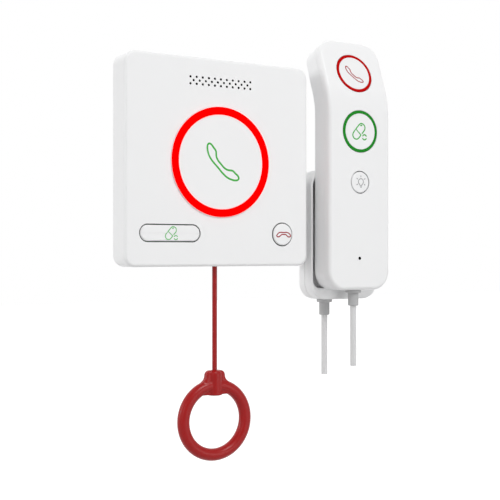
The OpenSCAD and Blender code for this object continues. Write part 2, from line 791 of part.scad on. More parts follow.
// Square channel that guides the slider and holds the spring's foot
module pull_guide() color(PALE_GREY) difference() {
    box_out(-guide_w / 2, guide_w / 2, guide_back, guide_out, guide_bottom, guide_top);
    box_out(-guide_w / 2 + guide_wall, guide_w / 2 - guide_wall, guide_back + guide_skin,
        guide_out - guide_skin, guide_floor, guide_top + 1);
    translate([0, -pull_cord_out, guide_bottom - 1]) cylinder(r = pull_cord_d / 2 + 0.4, h = 3);
    box_out(guide_w / 2 - guide_wall - 1, guide_w / 2 + 1, pull_cord_out - 1.5, pull_cord_out + 1.5,
        slider_tab_z - pull_travel - 1, guide_top + 1);
}

// Slider that the cord hangs from, with a tab that reaches over the switch
module pull_slider() color(WHITE) union() {
    box_out(-guide_w / 2 + guide_wall + slider_play, guide_w / 2 - guide_wall - slider_play,
        guide_back + guide_skin + slider_play, guide_out - guide_skin - slider_play,
        slider_bottom, slider_top);
    box_out(0, slider_tab_end, pull_cord_out - 1.2, pull_cord_out + 1.2,
        slider_tab_z, slider_tab_z + slider_tab_t);
}

// Two springs beside the cord that lift the slider again
module pull_springs() color(STEEL) for (sx = [-1, 1])
    translate([sx * pull_spring_x, -pull_cord_out, guide_floor])
        coil(pull_spring_r, pull_spring_wire_r, slider_bottom - guide_floor, 7);

// Switch that the slider's tab presses at the end of a pull
module pull_switch() color(BLACK) union() {
    box_out(pull_switch_x, pull_switch_x + pull_switch_w, board_front, board_front + pull_switch_t,
        pull_switch_bottom, pull_switch_top - pull_switch_stem_h);
    translate([pull_switch_x + 1.4, -pull_cord_out, pull_switch_top - pull_switch_stem_h])
        cylinder(r = 0.8, h = pull_switch_stem_h, $fn = 24);
}

// Cord from the slider down to the ring
module pull_cord() color(CORD_RED) tube(PULL_CORD_ROUTE, pull_cord_d / 2, 8);

// One side of the knob's web: a rounded shoulder, a fillet that meets the ring, and the flat underside
function knob_side() =
    let (half = knob_w / 2, outer_r = ring_r + ring_bar_r,
        lean = asin((half + knob_fillet_r) / (outer_r + knob_fillet_r)),
        fillet = [half + knob_fillet_r, ring_z + (outer_r + knob_fillet_r) * cos(lean)],
        shoulder_r = min(knob_round_r, knob_top - fillet[1] - knob_side_min),
        underside = knob_bottom + knob_step)
    concat([[0, knob_top]],
        [for (a = [90:-15:0]) [half - shoulder_r + shoulder_r * cos(a),
            knob_top - shoulder_r + shoulder_r * sin(a)]],
        [for (i = [0:5]) let (a = 180 + i * (90 - lean) / 5)
            fillet + knob_fillet_r * [cos(a), sin(a)]],
        [ring_r * [sin(lean), cos(lean)] + [0, ring_z]],
        [[sqrt(pow(ring_r, 2) - pow(underside - ring_z, 2)), underside], [0, underside]]);

// Ring with the knob that holds the cord's end
module pull_ring() color(CORD_RED) translate([0, -pull_cord_out, 0]) union() {
    translate([0, 0, ring_z]) rotate([90, 0, 0]) rotate_extrude($fn = 96)
        translate([ring_r, 0]) circle(ring_bar_r, $fn = 32);
    for (s = [0, 1]) mirror([s, 0, 0]) rotate([90, 0, 0]) translate([0, 0, -knob_web_t / 2])
        linear_extrude(knob_web_t) polygon(knob_side());
    rotate_extrude() polygon(concat([[0, knob_bottom], [knob_boss_d / 2, knob_bottom]],
        [for (a = [0:15:90]) [knob_boss_d / 2 - knob_round_r * (1 - cos(a)),
            knob_top - knob_round_r * (1 - sin(a))]],
        [[0, knob_top]]));
}

// Cradle

// Strain relief: plug in the housing's wall, flange under it and sleeve round the cable
module strain_relief(x, out, top) translate([x, -out, 0]) rotate_extrude()
    polygon([[0, top + plug_l], [plug_r, top + plug_l], [plug_r, top], [flange_d / 2, top],
        [flange_d / 2, top - flange_t], [sleeve_d / 2, top - flange_t],
        [sleeve_d / 2, top - flange_t - sleeve_l], [0, top - flange_t - sleeve_l]]);

// Plate of the cradle that is screwed to the wall, open to the front
module cradle_plate() color(WHITE) translate([cradle_x, 0, 0]) difference() {
    union() {
        translate([0, 0, cradle_z]) outwards(0, cradle_seam) difference() {
            rounded_rect(cradle_w, cradle_h, cradle_corner_r);
            rounded_rect(cradle_w - 2 * cradle_wall, cradle_h - 2 * cradle_wall,
                cradle_corner_r - cradle_wall);
        }
        translate([0, 0, cradle_z]) outwards(0, cradle_floor_t)
            rounded_rect(cradle_w - 1, cradle_h - 1, cradle_corner_r - 0.5);
        for (z = cradle_boss_z) translate([0, 0, z])
            bar_out(cradle_boss_d / 2, cradle_floor_t - 0.5, cradle_seam);
        for (sx = [-1, 1]) box_out(sx * 9 - 1.5, sx * 9 + 1.5, cradle_floor_t - 0.5, 3,
            cradle_board_z - 6, cradle_board_z + 6);
    }
    for (s = [-1, 1]) translate([0, 0, cradle_z + s * cradle_screw_spacing / 2])
        bar_out(wall_screw_d / 2, -1, cradle_floor_t + 1);
    for (z = cradle_boss_z) translate([0, 0, z])
        bar_out(cradle_screw_d / 2 + screw_play, 1, cradle_seam + 1);
    translate([cradle_cable_x, -cradle_cable_out, cradle_bottom - 1])
        cylinder(r = plug_r + seat_play, h = plug_l + 3);
}

// Body of the cradle with the pocket that takes the handset's foot
module cradle_body() color(WHITE) translate([cradle_x, 0, 0]) difference() {
    union() {
        difference() {
            translate([0, 0, cradle_z])
                filleted_slab(cradle_w, cradle_h, cradle_seam, cradle_d, cradle_corner_r, cradle_edge_r);
            translate([0, 0, pocket_z]) outwards(pocket_floor, cradle_d + 1)
                rounded_rect(pocket_w, pocket_h, pocket_corner_r);
        }
        for (sx = [-1, 1]) {
            rib_x = sx * (foot_w / 2 + guide_rib_play + guide_rib_t / 2);
            box_out(rib_x - guide_rib_t / 2, rib_x + guide_rib_t / 2, pocket_floor - 0.5,
                pocket_floor + guide_rib_h, pocket_bottom + guide_rib_up,
                pocket_bottom + guide_rib_up + guide_rib_l);
        }
    }
    for (z = cradle_boss_z) translate([0, 0, z]) {
        bar_out(cradle_screw_d / 2 + seat_play, cradle_seam - 1, cradle_d + 1);
        bar_out(cradle_screw_head_d / 2 + seat_play, pocket_floor - cradle_screw_head_h, cradle_d + 1);
    }
    for (z = magnet_z) translate([0, 0, z])
        bar_out(magnet_d / 2 + seat_play, cradle_seam - 1, cradle_seam + magnet_t);
    translate([cradle_cable_x, -cradle_cable_out, cradle_bottom - 1])
        cylinder(r = plug_r + seat_play, h = plug_l + 2);
}

// Two screws that hold the cradle's body on its plate
module cradle_screws() color(STEEL) for (z = cradle_boss_z) translate([cradle_x, 0, z])
    screw_from_front(cradle_screw_d, cradle_screw_l - 1.6, cradle_screw_head_d,
        cradle_screw_head_h - 0.2, pocket_floor - cradle_screw_head_h, $fn = 32);

// Magnets behind the pocket's floor that hold the handset
module cradle_magnets() color(STEEL) for (z = magnet_z) translate([cradle_x, 0, z])
    bar_out(magnet_d / 2, cradle_seam + seat_play, cradle_seam + magnet_t);

// Small circuit board that senses the handset and joins the cable
module cradle_board() color(BOARD_GREEN) translate([cradle_x, 0, cradle_board_z])
    outwards(3, 3 + cradle_board_t) rounded_rect(cradle_board_w, cradle_board_h, 2);

// Strain relief under the cradle
module cradle_strain_relief() color(PALE_GREY)
    strain_relief(cradle_x + cradle_cable_x, cradle_cable_out, cradle_bottom);

// Cable of the cradle down to its cut end
module cradle_cord() color(PALE_GREY) tube(hanging(cradle_x + cradle_cable_x, cradle_cable_out,
    cradle_bottom - flange_t - sleeve_l, CRADLE_CORD_END), cable_d / 2, 8);

// Handset

// Leans back what is drawn upright above the bend
module leant() {
    translate([0, bend_centre_y, bend_z]) rotate([-handset_lean, 0, 0])
        translate([0, -bend_centre_y, -bend_z]) children();
}

// Turns a point that is drawn upright back about the bend's centre
function bent_point(x, out, z, angle) = let (arm = out + bend_centre_y, rise = z - bend_z)
    [x, bend_centre_y - (arm * cos(angle) - rise * sin(angle)),
        bend_z + arm * sin(angle) + rise * cos(angle)];

// Right half of an outline in front view, from the bottom to the top: x, height and lean of each point
function half_outline(half_w, bottom, top, r) = concat(
    [for (a = [0:10:90]) [half_w - r + r * sin(a), bottom + r - r * cos(a), 0]],
    [for (i = [0:6]) [half_w, bend_z, handset_lean * i / 6]],
    [for (a = [0:10:90]) [half_w - r + r * cos(a), top - r + r * sin(a), handset_lean]]);

// Closed surface that follows the bend, given by levels: pairs of inset and distance out
module bent_body(levels) {
    half = handset_w / 2;
    top = bend_z + handset_upper;
    rings = [for (level = levels) let (e = level[0], out = level[1],
        right = half_outline(half - e, handset_bottom + e, top - e, handset_corner_r - e))
        concat([for (q = right) bent_point(q[0], out, q[1], q[2])],
            [for (i = [len(right) - 1:-1:0]) bent_point(-right[i][0], out, right[i][1], right[i][2])])];
    n = len(rings[0]);
    last = (len(levels) - 1) * n;
    walls = [for (j = [0:len(levels) - 2], k = [0:n - 1])
        let (a = j * n + k, b = j * n + (k + 1) % n) each [[a, a + n, b], [b, a + n, b + n]]];
    caps = [for (k = [0:n / 2 - 2]) each [[k, k + 1, n - 1 - k], [k + 1, n - 2 - k, n - 1 - k],
        [last + k + 1, last + k, last + n - 1 - k], [last + n - 2 - k, last + k + 1, last + n - 1 - k]]];
    polyhedron([for (ring = rings) each ring], concat(walls, caps));
}

// Levels of a back edge fillet, from the middle of the edge to the back or the other way
function back_levels(inset, angles) = let (r = max(handset_back_r - inset, 0.5))
    [for (a = angles) [inset + r * (1 - sin(a)), handset_back + inset + r * (1 - cos(a))]];

// Levels of a front edge fillet
function front_levels(inset, angles) = let (r = max(handset_edge_r - inset, 0.5))
    [for (a = angles) [inset + r * (1 - cos(a)), handset_front - inset - r * (1 - sin(a))]];

// Hollow half of the handset behind the seam
module back_cup() {
    rim = seam_out - seam_gap;
    bent_body(concat(back_levels(0, [0:30:90]), [[0, rim], [handset_wall, rim]],
        back_levels(handset_wall, [90:-30:0])));
}

// Hollow half of the handset in front of the seam
module front_cup() {
    bent_body(concat(front_levels(handset_wall, [90:-15:0]), [[handset_wall, seam_out], [0, seam_out]],
        front_levels(0, [0:15:90])));
}

// Puts a child at each screw post, the last of them in the part that leans back
module at_posts() {
    for (sx = [-1, 1], z = post_z) translate([sx * post_x, 0, z]) children();
    leant() translate([0, 0, top_post_z]) children();
}

// Back shell with the foot that hangs in the cradle
module handset_back_shell() color(WHITE) translate([handset_x, 0, 0]) difference() {
    union() {
        back_cup();
        at_posts() bar_out(post_r, inner_back - 0.5, handset_board_front);
        for (z = [handset_board_bottom + 6, middle_standoff_z, handset_board_top - 6])
            box_out(-handset_board_w / 2, handset_board_w / 2, inner_back - 0.5, handset_board_out,
                z - standoff_w / 2, z + standoff_w / 2);
        leant() for (z = [call_board_bottom + 3, call_board_top - 3])
            box_out(-10, 10, inner_back - 0.5, handset_board_out, z - standoff_w / 2, z + standoff_w / 2);
        translate([0, 0, foot_z]) outwards(foot_back, handset_back + 1)
            rounded_rect(foot_w, foot_h, foot_corner_r);
    }
    at_posts() {
        bar_out(handset_screw_d / 2 + seat_play, foot_back - 1, handset_board_front + 1);
        bar_out(handset_screw_head_d / 2 + seat_play, foot_back - 5, handset_back + handset_screw_head_h);
    }
    for (sx = [-1, 1]) translate([sx * post_x, 0, post_z[1]])
        bar_out(handset_screw_well_r, foot_back - 1, handset_back);
    translate([0, 0, foot_z]) outwards(foot_back - 1, foot_back + keeper_t)
        rounded_rect(keeper_w + 2 * seat_play, keeper_h + 2 * seat_play, keeper_corner_r + seat_play);
    translate([0, -handset_cable_out, handset_bottom - 1])
        cylinder(r = plug_r + seat_play, h = handset_wall + 2);
}

// Front shell with the holes for the buttons and the microphone
module handset_front_shell() color(WHITE) translate([handset_x, 0, 0]) difference() {
    union() {
        front_cup();
        at_posts() bar_out(post_r, handset_board_front + seat_play, inner_front + 0.5);
    }
    at_posts() bar_out(handset_screw_d / 2 + screw_play, handset_board_front - 1, inner_front - 1);
    leant() translate([0, 0, call_key_z])
        bar_out(handset_ring_r + handset_key_gap, inner_front - 1, handset_front + 1, $fn = 96);
    translate([0, 0, handset_medication_z])
        bar_out(handset_ring_r + handset_key_gap, inner_front - 1, handset_front + 1, $fn = 96);
    translate([0, 0, light_key_z]) bar_out(light_key_d / 2 + key_gap, inner_front - 1, handset_front + 1);
    translate([0, 0, microphone_z]) bar_out(microphone_hole_d / 2, inner_front - 1, handset_front + 1);
    translate([0, -handset_cable_out, handset_bottom - 1])
        cylinder(r = plug_r + seat_play, h = handset_wall + 2);
}

// Five screws that hold the handset's shells together
module handset_screws() color(STEEL) translate([handset_x, 0, 0]) at_posts()
    screw_from_back(handset_screw_d, handset_screw_l, handset_screw_head_d, handset_screw_head_h - 0.2,
        handset_back + handset_screw_head_h, $fn = 32);

// Steel plate in the foot that the cradle's magnets hold
module handset_keeper() color(STEEL) translate([handset_x, 0, foot_z])
    outwards(foot_back + seat_play, foot_back + keeper_t) rounded_rect(keeper_w, keeper_h, keeper_corner_r);

// Circuit board behind the lower buttons
module handset_board() color(BOARD_GREEN) translate([handset_x, 0, 0])
    box_out(-handset_board_w / 2, handset_board_w / 2, handset_board_out, handset_board_front,
        handset_board_bottom, handset_board_top);

// Circuit board behind the call button, leant back with the shell
module handset_call_board() color(BOARD_GREEN) translate([handset_x, 0, 0]) leant()
    box_out(-handset_board_w / 2, handset_board_w / 2, handset_board_out, handset_board_front,
        call_board_bottom, call_board_top);

// Rubber dome under a button
module dome() turned_out() polygon([[0, handset_board_front + mat_t],
    [dome_r + 1, handset_board_front + mat_t], [dome_r - 1, dome_top], [0, dome_top]]);

// Silicone mat with the domes of the two lower buttons
module handset_keypad() color(SILICONE) translate([handset_x, 0, 0]) union() {
    outwards(handset_board_front, handset_board_front + mat_t)
        translate([0, (light_key_z + handset_medication_z) / 2])
            rounded_rect(mat_w, handset_medication_z - light_key_z + 2 * mat_end, mat_corner_r);
    for (z = [handset_medication_z, light_key_z]) translate([0, 0, z]) dome();
}

// Silicone pad with the dome of the call button
module handset_call_pad() color(SILICONE) translate([handset_x, 0, 0]) leant()
    translate([0, 0, call_key_z]) union() {
        bar_out(mat_end, handset_board_front, handset_board_front + mat_t);
        dome();
    }

// Microphone capsule behind its hole
module handset_microphone() color(BLACK) translate([handset_x, 0, microphone_z])
    bar_out(microphone_r, handset_board_front, inner_front - rest_gap);

// White disc of a ringed handset button
module ringed_key() {
    turned_out($fn = 96) cap_profile(handset_disc_r, handset_key_top, handset_cap_t,
        handset_ring_r + handset_key_gap + handset_flange_w, handset_flange_front, handset_flange_t);
    bar_out(plunger_r, handset_plunger_end, handset_key_top - handset_cap_t);
}

// Light ring of a handset button
module key_ring() turned_out($fn = 96)
    ring_profile(handset_disc_r, handset_ring_r, handset_flange_front, handset_key_top, 0.2);

// Call button at the top of the handset
module handset_call_button() color(WHITE) translate([handset_x, 0, 0]) leant()
    translate([0, 0, call_key_z]) ringed_key();

// Red ring of the handset's call button
module handset_call_ring() color(HANDSET_RED) translate([handset_x, 0, 0]) leant()
    translate([0, 0, call_key_z]) key_ring();

// Medication button of the handset
module handset_medication_button() color(WHITE)
    translate([handset_x, 0, handset_medication_z]) ringed_key();

// Green ring of the handset's medication button
module handset_medication_ring() color(HANDSET_GREEN)
    translate([handset_x, 0, handset_medication_z]) key_ring();

// Button for the light
module handset_light_button() color(WHITE) translate([handset_x, 0, light_key_z]) {
    difference() {
        turned_out() polygon([[0, handset_flange_front - handset_flange_t],
            [light_key_d / 2 + key_gap + handset_flange_w, handset_flange_front - handset_flange_t],
            [light_key_d / 2 + key_gap + handset_flange_w, handset_flange_front],
            [light_key_d / 2, handset_flange_front],
            [light_key_d / 2, handset_key_top - 0.5], [light_key_d / 2 - 0.5, handset_key_top],
            [0, handset_key_top]]);
        bar_out(light_key_d / 2 - 1.6, handset_flange_front - handset_flange_t - 1,
            handset_key_top - handset_cap_t);
    }
    bar_out(plunger_r, handset_plunger_end, handset_key_top - handset_cap_t);
}

// Strain relief under the handset
module handset_strain_relief() color(PALE_GREY)
    strain_relief(handset_x, handset_cable_out, handset_bottom);

// Cable of the handset down to its cut end
module handset_cord() color(PALE_GREY) tube(hanging(handset_x, handset_cable_out,
    handset_bottom - flange_t - sleeve_l, HANDSET_CORD_END), cable_d / 2, 8);

wall_plate();
front_cover();
cover_screws();
speaker_gauze();
speaker();
panel_board();
board_screws();
terminal_block();
call_switch();
key_switches();
call_leds();
call_button();
call_light_ring();
call_spring();
medication_button();
medication_spring();
cancel_button();
cancel_spring();
cord_bush();
pull_guide();
pull_slider();
pull_springs();
pull_switch();
pull_cord();
pull_ring();
cradle_plate();
cradle_body();
cradle_screws();
cradle_magnets();
cradle_board();
cradle_strain_relief();
cradle_cord();
handset_back_shell();
handset_front_shell();
handset_screws();
handset_keeper();
handset_board();
handset_call_board();
handset_keypad();
handset_call_pad();
handset_microphone();
handset_call_button();
handset_call_ring();
handset_medication_button();
handset_medication_ring();
handset_light_button();
handset_strain_relief();
handset_cord();
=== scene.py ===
"""Visual model of a nurse call set: wall panel with pull cord, handset and cradle, around its CAD frame."""
import json
import logging
import math
from dataclasses import dataclass
from enum import Enum
from typing import Iterable, Sequence

import bmesh
import bpy
from mathutils import Matrix, Vector


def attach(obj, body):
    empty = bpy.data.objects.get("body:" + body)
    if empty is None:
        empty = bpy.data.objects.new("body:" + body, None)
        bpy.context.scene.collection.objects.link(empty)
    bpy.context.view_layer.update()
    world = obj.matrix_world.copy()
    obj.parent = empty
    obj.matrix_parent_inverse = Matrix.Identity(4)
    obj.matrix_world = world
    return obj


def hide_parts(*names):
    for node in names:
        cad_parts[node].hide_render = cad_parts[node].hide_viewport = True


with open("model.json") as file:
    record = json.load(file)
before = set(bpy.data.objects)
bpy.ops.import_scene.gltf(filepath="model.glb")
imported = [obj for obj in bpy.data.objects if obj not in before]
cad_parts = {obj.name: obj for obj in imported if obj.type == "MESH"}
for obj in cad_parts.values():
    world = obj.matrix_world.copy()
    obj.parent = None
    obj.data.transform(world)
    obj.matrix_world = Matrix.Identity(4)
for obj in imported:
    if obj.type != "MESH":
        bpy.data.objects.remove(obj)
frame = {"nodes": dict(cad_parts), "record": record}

LOG = logging.getLogger("call_set")
MM = 0.001  # a millimetre, in metres
TINY = 1e-7  # less than this counts as nothing
PAST = 1.0  # how far cutting tools reach past what they cut, in millimetres
SMOOTH_ANGLE = 32.0  # edges up to this angle are shaded smooth, in degrees
CORD_OUT = 9.2  # the pull cord's distance from the wall, in millimetres
HANDSET_X = 90.1  # middle of the handset and its cradle, in millimetres
PURE_WHITE = (1.0, 1.0, 1.0, 1.0)
Point2 = tuple[float, float]
Point3 = tuple[float, float, float]


def at(x: float, out: float, z: float) -> Vector:
    """Point in metres from millimetres: sideways, distance out from the wall, and height."""
    return Vector((x, -out, z)) * MM


class Body(Enum):
    """The CAD bodies that pieces ride on."""

    BASE = "base"
    CALL = "call_button"
    MEDICATION = "medication_button"
    CANCEL = "cancel_button"
    PULL = "pull_cord"
    HANDSET = "handset"
    HANDSET_CALL = "handset_call_button"
    HANDSET_MEDICATION = "handset_medication_button"
    HANDSET_LIGHT = "handset_light_button"


class Grain(Enum):
    """Scale of the fine surface structure on a finish, in cells per metre."""

    SPARK_ERODED = 2600.0
    MOULDED = 900.0
    RUBBER = 1800.0
    METAL = 3200.0
    CLOTH = 5200.0


class Combination(Enum):
    """How one closed form is combined with another."""

    CUT = "DIFFERENCE"
    JOIN = "UNION"


# Shader node groups and finishes

def feed(tree: bpy.types.NodeTree, node: bpy.types.Node, inputs: dict[str | int, object]) -> None:
    """Sets inputs of a shader node.

    Args:
        tree: The tree that the node is in.
        node: The node.
        inputs: For each input its value, or the output socket that feeds it.
    """
    for key, value in inputs.items():
        if isinstance(value, bpy.types.NodeSocket):
            tree.links.new(value, node.inputs[key])
        else:
            node.inputs[key].default_value = value


def add_node(tree: bpy.types.NodeTree, kind: str, inputs: dict[str | int, object],
             operation: str = "") -> bpy.types.Node:
    """Adds a shader node to a tree.

    Args:
        tree: The tree.
        kind: Type of the node, without the ShaderNode that all types start with.
        inputs: For each input its value, or the output socket that feeds it.
        operation: What a math node works out.

    Returns:
        The node.
    """
    node = tree.nodes.new(f"ShaderNode{kind}")
    if operation:
        node.operation = operation
    feed(tree, node, inputs)
    return node


def new_group(name: str, inputs: Sequence[tuple[str, float]], outputs: Sequence[str]) -> bpy.types.NodeTree:
    """Starts a shader node group with number inputs and number outputs.

    Args:
        name: Name of the group.
        inputs: Name and default value of each input.
        outputs: Name of each output.

    Returns:
        The group's tree, holding its input and output nodes.
    """
    tree = bpy.data.node_groups.new(name, "ShaderNodeTree")
    for label, value in inputs:
        socket = tree.interface.new_socket(name=label, in_out="INPUT", socket_type="NodeSocketFloat")
        socket.default_value = value
    for label in outputs:
        tree.interface.new_socket(name=label, in_out="OUTPUT", socket_type="NodeSocketFloat")
    tree.nodes.new("NodeGroupInput")
    tree.nodes.new("NodeGroupOutput")
    return tree


def grain_group() -> bpy.types.NodeTree:
    """Builds the moulded grain that every finish uses: fine cells for relief, broad clouds for tone.

    Returns:
        A group with the inputs Scale and Softness and the outputs Height and Tone.
    """
    tree = new_group("moulded_grain", [("Scale", 900.0), ("Softness", 0.5)], ["Height", "Tone"])
    given = tree.nodes["Group Input"].outputs
    where = add_node(tree, "TexCoord", {}).outputs["Object"]
    fine = add_node(tree, "TexNoise", {"Vector": where, "Scale": given["Scale"],
                                       "Roughness": given["Softness"], "Detail": 3.0})
    broad = add_node(tree, "TexNoise", {"Vector": where, "Scale": 38.0, "Detail": 4.0})
    feed(tree, tree.nodes["Group Output"], {"Height": fine.outputs["Fac"], "Tone": broad.outputs["Fac"]})
    return tree


@dataclass(frozen=True)
class Finish:
    """One finish of the set: a Principled surface whose colour, roughness and relief follow the grain.

    Attributes:
        name: Material name.
        slot: Material slot of the record that it stands for.
        colour: Base colour, linear.
        roughness: Middle roughness.
        grain: Scale of the fine structure.
        relief: Height of the fine structure in metres.
        variation: How far the tone varies, as a share of the colour.
        gloss_variation: How far the roughness varies.
        metallic: 1 for bare metal.
        coat: Weight of a clear coat.
        specular: Specular level.
        glow: Strength of a lit surface.
        scatter: Weight of subsurface scattering.
    """

    name: str
    slot: str
    colour: Point3
    roughness: float = 0.45
    grain: Grain = Grain.MOULDED
    relief: float = 0.00001
    variation: float = 0.02
    gloss_variation: float = 0.06
    metallic: float = 0.0
    coat: float = 0.0
    specular: float = 0.5
    glow: float = 0.0
    scatter: float = 0.0

    def material(self) -> bpy.types.Material:
        """Builds the finish's material on its first use.

        Returns:
            The material.
        """
        found = bpy.data.materials.get(self.name)
        if found:
            return found
        made = bpy.data.materials.new(self.name)
        made.use_nodes = True
        tree = made.node_tree
        grain = tree.nodes.new("ShaderNodeGroup")
        grain.node_tree = bpy.data.node_groups.get("moulded_grain") or grain_group()
        feed(tree, grain, {"Scale": self.grain.value})
        tint = tree.nodes.new("ShaderNodeMix")
        tint.data_type = "RGBA"
        feed(tree, tint, {"Factor": grain.outputs["Tone"],
                          "A": (*[c * (1 - self.variation) for c in self.colour], 1.0),
                          "B": (*[min(c * (1 + self.variation), 1.0) for c in self.colour], 1.0)})
        rough = add_node(tree, "MapRange", {"Value": grain.outputs["Tone"],
                                            "To Min": max(self.roughness - self.gloss_variation, 0.0),
                                            "To Max": min(self.roughness + self.gloss_variation, 1.0)})
        bump = add_node(tree, "Bump", {"Height": grain.outputs["Height"], "Distance": self.relief,
                                       "Strength": 0.35})
        surface = tree.nodes["Principled BSDF"]
        feed(tree, surface, {
            "Base Color": tint.outputs["Result"], "Roughness": rough.outputs["Result"],
            "Normal": bump.outputs["Normal"], "Metallic": self.metallic, "Coat Weight": self.coat,
            "Coat Roughness": 0.12, "Specular IOR Level": self.specular,
            "Subsurface Weight": self.scatter, "Subsurface Scale": 0.002})
        if self.glow:
            feed(tree, surface, {"Emission Color": tint.outputs["Result"], "Emission Strength": self.glow})
        return made


def sign_ink(name: str, slot: str, colour: Point3) -> Finish:
    """Matt printed ink of a sign."""
    return Finish(name, slot, colour, 0.5, variation=0.03, specular=0.2)


WHITE = Finish("white_shell", "white_plastic", (0.83, 0.832, 0.836), 0.42, Grain.SPARK_ERODED, 0.00003,
               variation=0.008)
WHITE_KEY = Finish("white_key", "white_plastic", (0.82, 0.822, 0.826), 0.36, Grain.SPARK_ERODED, 0.00002,
                   variation=0.006)
# Painted shade: a dark finish on the sides of the small buttons, where only shade falls in the gap; it is not a
# colour of the part.
PAINTED_GAP_SHADE = Finish("painted_gap_shade", "white_plastic", (0.16, 0.16, 0.165), 0.7, Grain.SPARK_ERODED, 0.00003,
             specular=0.2)
# Painted shade: near black on the walls of small holes, where only shade falls; it is not a colour of the part.
PAINTED_HOLE_SHADE = Finish("painted_hole_shade", "gauze", (0.02, 0.02, 0.02), 0.9, Grain.SPARK_ERODED, 0.00002, specular=0.0)
PALE = Finish("pale_shell", "pale_plastic", (0.6, 0.6, 0.61), 0.5, Grain.SPARK_ERODED, 0.00004)
RING_LIT = Finish("ring_lit", "red_light", (1.0, 0.0, 0.0), 0.5, variation=0.01, specular=0.0, glow=1.0)
# Painted light: pale pink on the ring's outer wall, standing in for the red glow that spills round the ring; it
# is not the ring's own red.
RING_PAINTED_GLOW_RIM = Finish("ring_painted_glow_rim", "red_light", (0.84, 0.78, 0.78), 0.5, specular=0.2)
RING_RED = Finish("ring_red", "handset_red", (0.44, 0.0, 0.0), 0.34, variation=0.04, specular=0.04, glow=0.1)
RING_GREEN = Finish("ring_green", "handset_green", (0.01, 0.22, 0.015), 0.34,
                    variation=0.04, specular=0.06, glow=0.06)
SIGN_GREEN = sign_ink("sign_green", "handset_green", (0.05, 0.40, 0.05))
SIGN_GREEN_PALE = sign_ink("sign_green_pale", "handset_green", (0.17, 0.5, 0.18))
SIGN_RED = sign_ink("sign_red", "handset_red", (0.36, 0.04, 0.05))
SIGN_GREY = sign_ink("sign_grey", "cable_grey", (0.36, 0.36, 0.37))
RED_PLASTIC = Finish("red_ring_plastic", "red_plastic", (0.33, 0.003, 0.003), 0.32, Grain.MOULDED, 0.00002,
                     variation=0.03, specular=0.25)
RED_CORD = Finish("red_cord_sheath", "red_cord", (0.31, 0.003, 0.003), 0.32, Grain.MOULDED, 0.00002,
                  variation=0.05, specular=0.25)
CABLE = Finish("cable_sheath", "cable_grey", (0.66, 0.66, 0.665), 0.5, Grain.RUBBER, 0.00003, variation=0.02)
RELIEF = Finish("relief_rubber", "cable_grey", (0.42, 0.42, 0.425), 0.55, Grain.RUBBER, 0.00004,
                variation=0.02)
STEEL = Finish("zinc_steel", "steel", (0.6, 0.6, 0.62), 0.34, Grain.METAL, 0.00001, variation=0.06,
               metallic=1.0)
BLACK = Finish("black_moulding", "black_plastic", (0.02, 0.02, 0.022), 0.45, Grain.MOULDED, 0.00003)
CLOTH = Finish("speaker_cloth", "gauze", (0.006, 0.006, 0.006), 0.9, Grain.CLOTH, 0.0001, specular=0.1)
BOARD = Finish("solder_resist", "circuit_board", (0.02, 0.16, 0.06), 0.3, Grain.MOULDED, 0.00002,
               variation=0.2, coat=0.4)
TERMINAL = Finish("terminal_body", "terminal_green", (0.04, 0.27, 0.09), 0.45, Grain.MOULDED, 0.00003)
LAMP = Finish("lamp_cap", "lamp", (0.9, 0.84, 0.6), 0.2, scatter=0.2)
SILICONE = Finish("silicone", "silicone", (0.5, 0.52, 0.55), 0.6, Grain.RUBBER, 0.00003, scatter=0.2)

SLOT_FINISH = {f.slot: f for f in (PALE, STEEL, BLACK, CLOTH, BOARD, TERMINAL, LAMP, SILICONE, RING_LIT,
                                   RING_RED, RING_GREEN, RED_PLASTIC, RED_CORD, RELIEF, WHITE)}


# Mesh work that several sub-assemblies share

def placed(name: str, data: bpy.types.ID) -> bpy.types.Object:
    """Makes an object of a mesh, curve, camera or light and puts it in the scene.

    Args:
        name: Name of the object.
        data: What it shows.

    Returns:
        The object.
    """
    obj = bpy.data.objects.new(name, data)
    bpy.context.scene.collection.objects.link(obj)
    return obj


def bake(obj: bpy.types.Object) -> None:
    """Applies an object's modifiers to its mesh.

    Args:
        obj: The object, a mesh or a curve.
    """
    shaped = obj.evaluated_get(bpy.context.evaluated_depsgraph_get())
    mesh = bpy.data.meshes.new_from_object(shaped)
    obj.modifiers.clear()
    old, obj.data = obj.data, mesh
    mesh.name = obj.name
    if old.users == 0:
        (bpy.data.curves if isinstance(old, bpy.types.Curve) else bpy.data.meshes).remove(old)


def loose(name: str, bm: bmesh.types.BMesh) -> bpy.types.Object:
    """Puts a bmesh in the scene as a new object and frees it.

    Args:
        name: Name of the object.
        bm: Its form.

    Returns:
        The object.
    """
    mesh = bpy.data.meshes.new(name)
    bm.to_mesh(mesh)
    bm.free()
    return placed(name, mesh)


def weld(mesh: bpy.types.Mesh, distance: float = 0.001) -> None:
    """Merges points of a mesh that lie close together, so that its seams close.

    Args:
        mesh: The mesh.
        distance: Points nearer to each other than this, in millimetres, become one.
    """
    bm = bmesh.new()
    bm.from_mesh(mesh)
    bmesh.ops.remove_doubles(bm, verts=bm.verts, dist=distance * MM)
    bmesh.ops.dissolve_degenerate(bm, edges=bm.edges, dist=distance * MM)
    bm.to_mesh(mesh)
    bm.free()


def smooth(obj: bpy.types.Object, angle: float = SMOOTH_ANGLE) -> None:
    """Shades an object smooth, apart from its sharp edges.

    Args:
        obj: The object.
        angle: Edges sharper than this, in degrees, stay sharp.
    """
    obj.data.shade_smooth()
    obj.data.set_sharp_from_angle(angle=math.radians(angle))
    flat = obj.modifiers.new("face_normals", "WEIGHTED_NORMAL")
    flat.keep_sharp = True
    flat.weight = 80


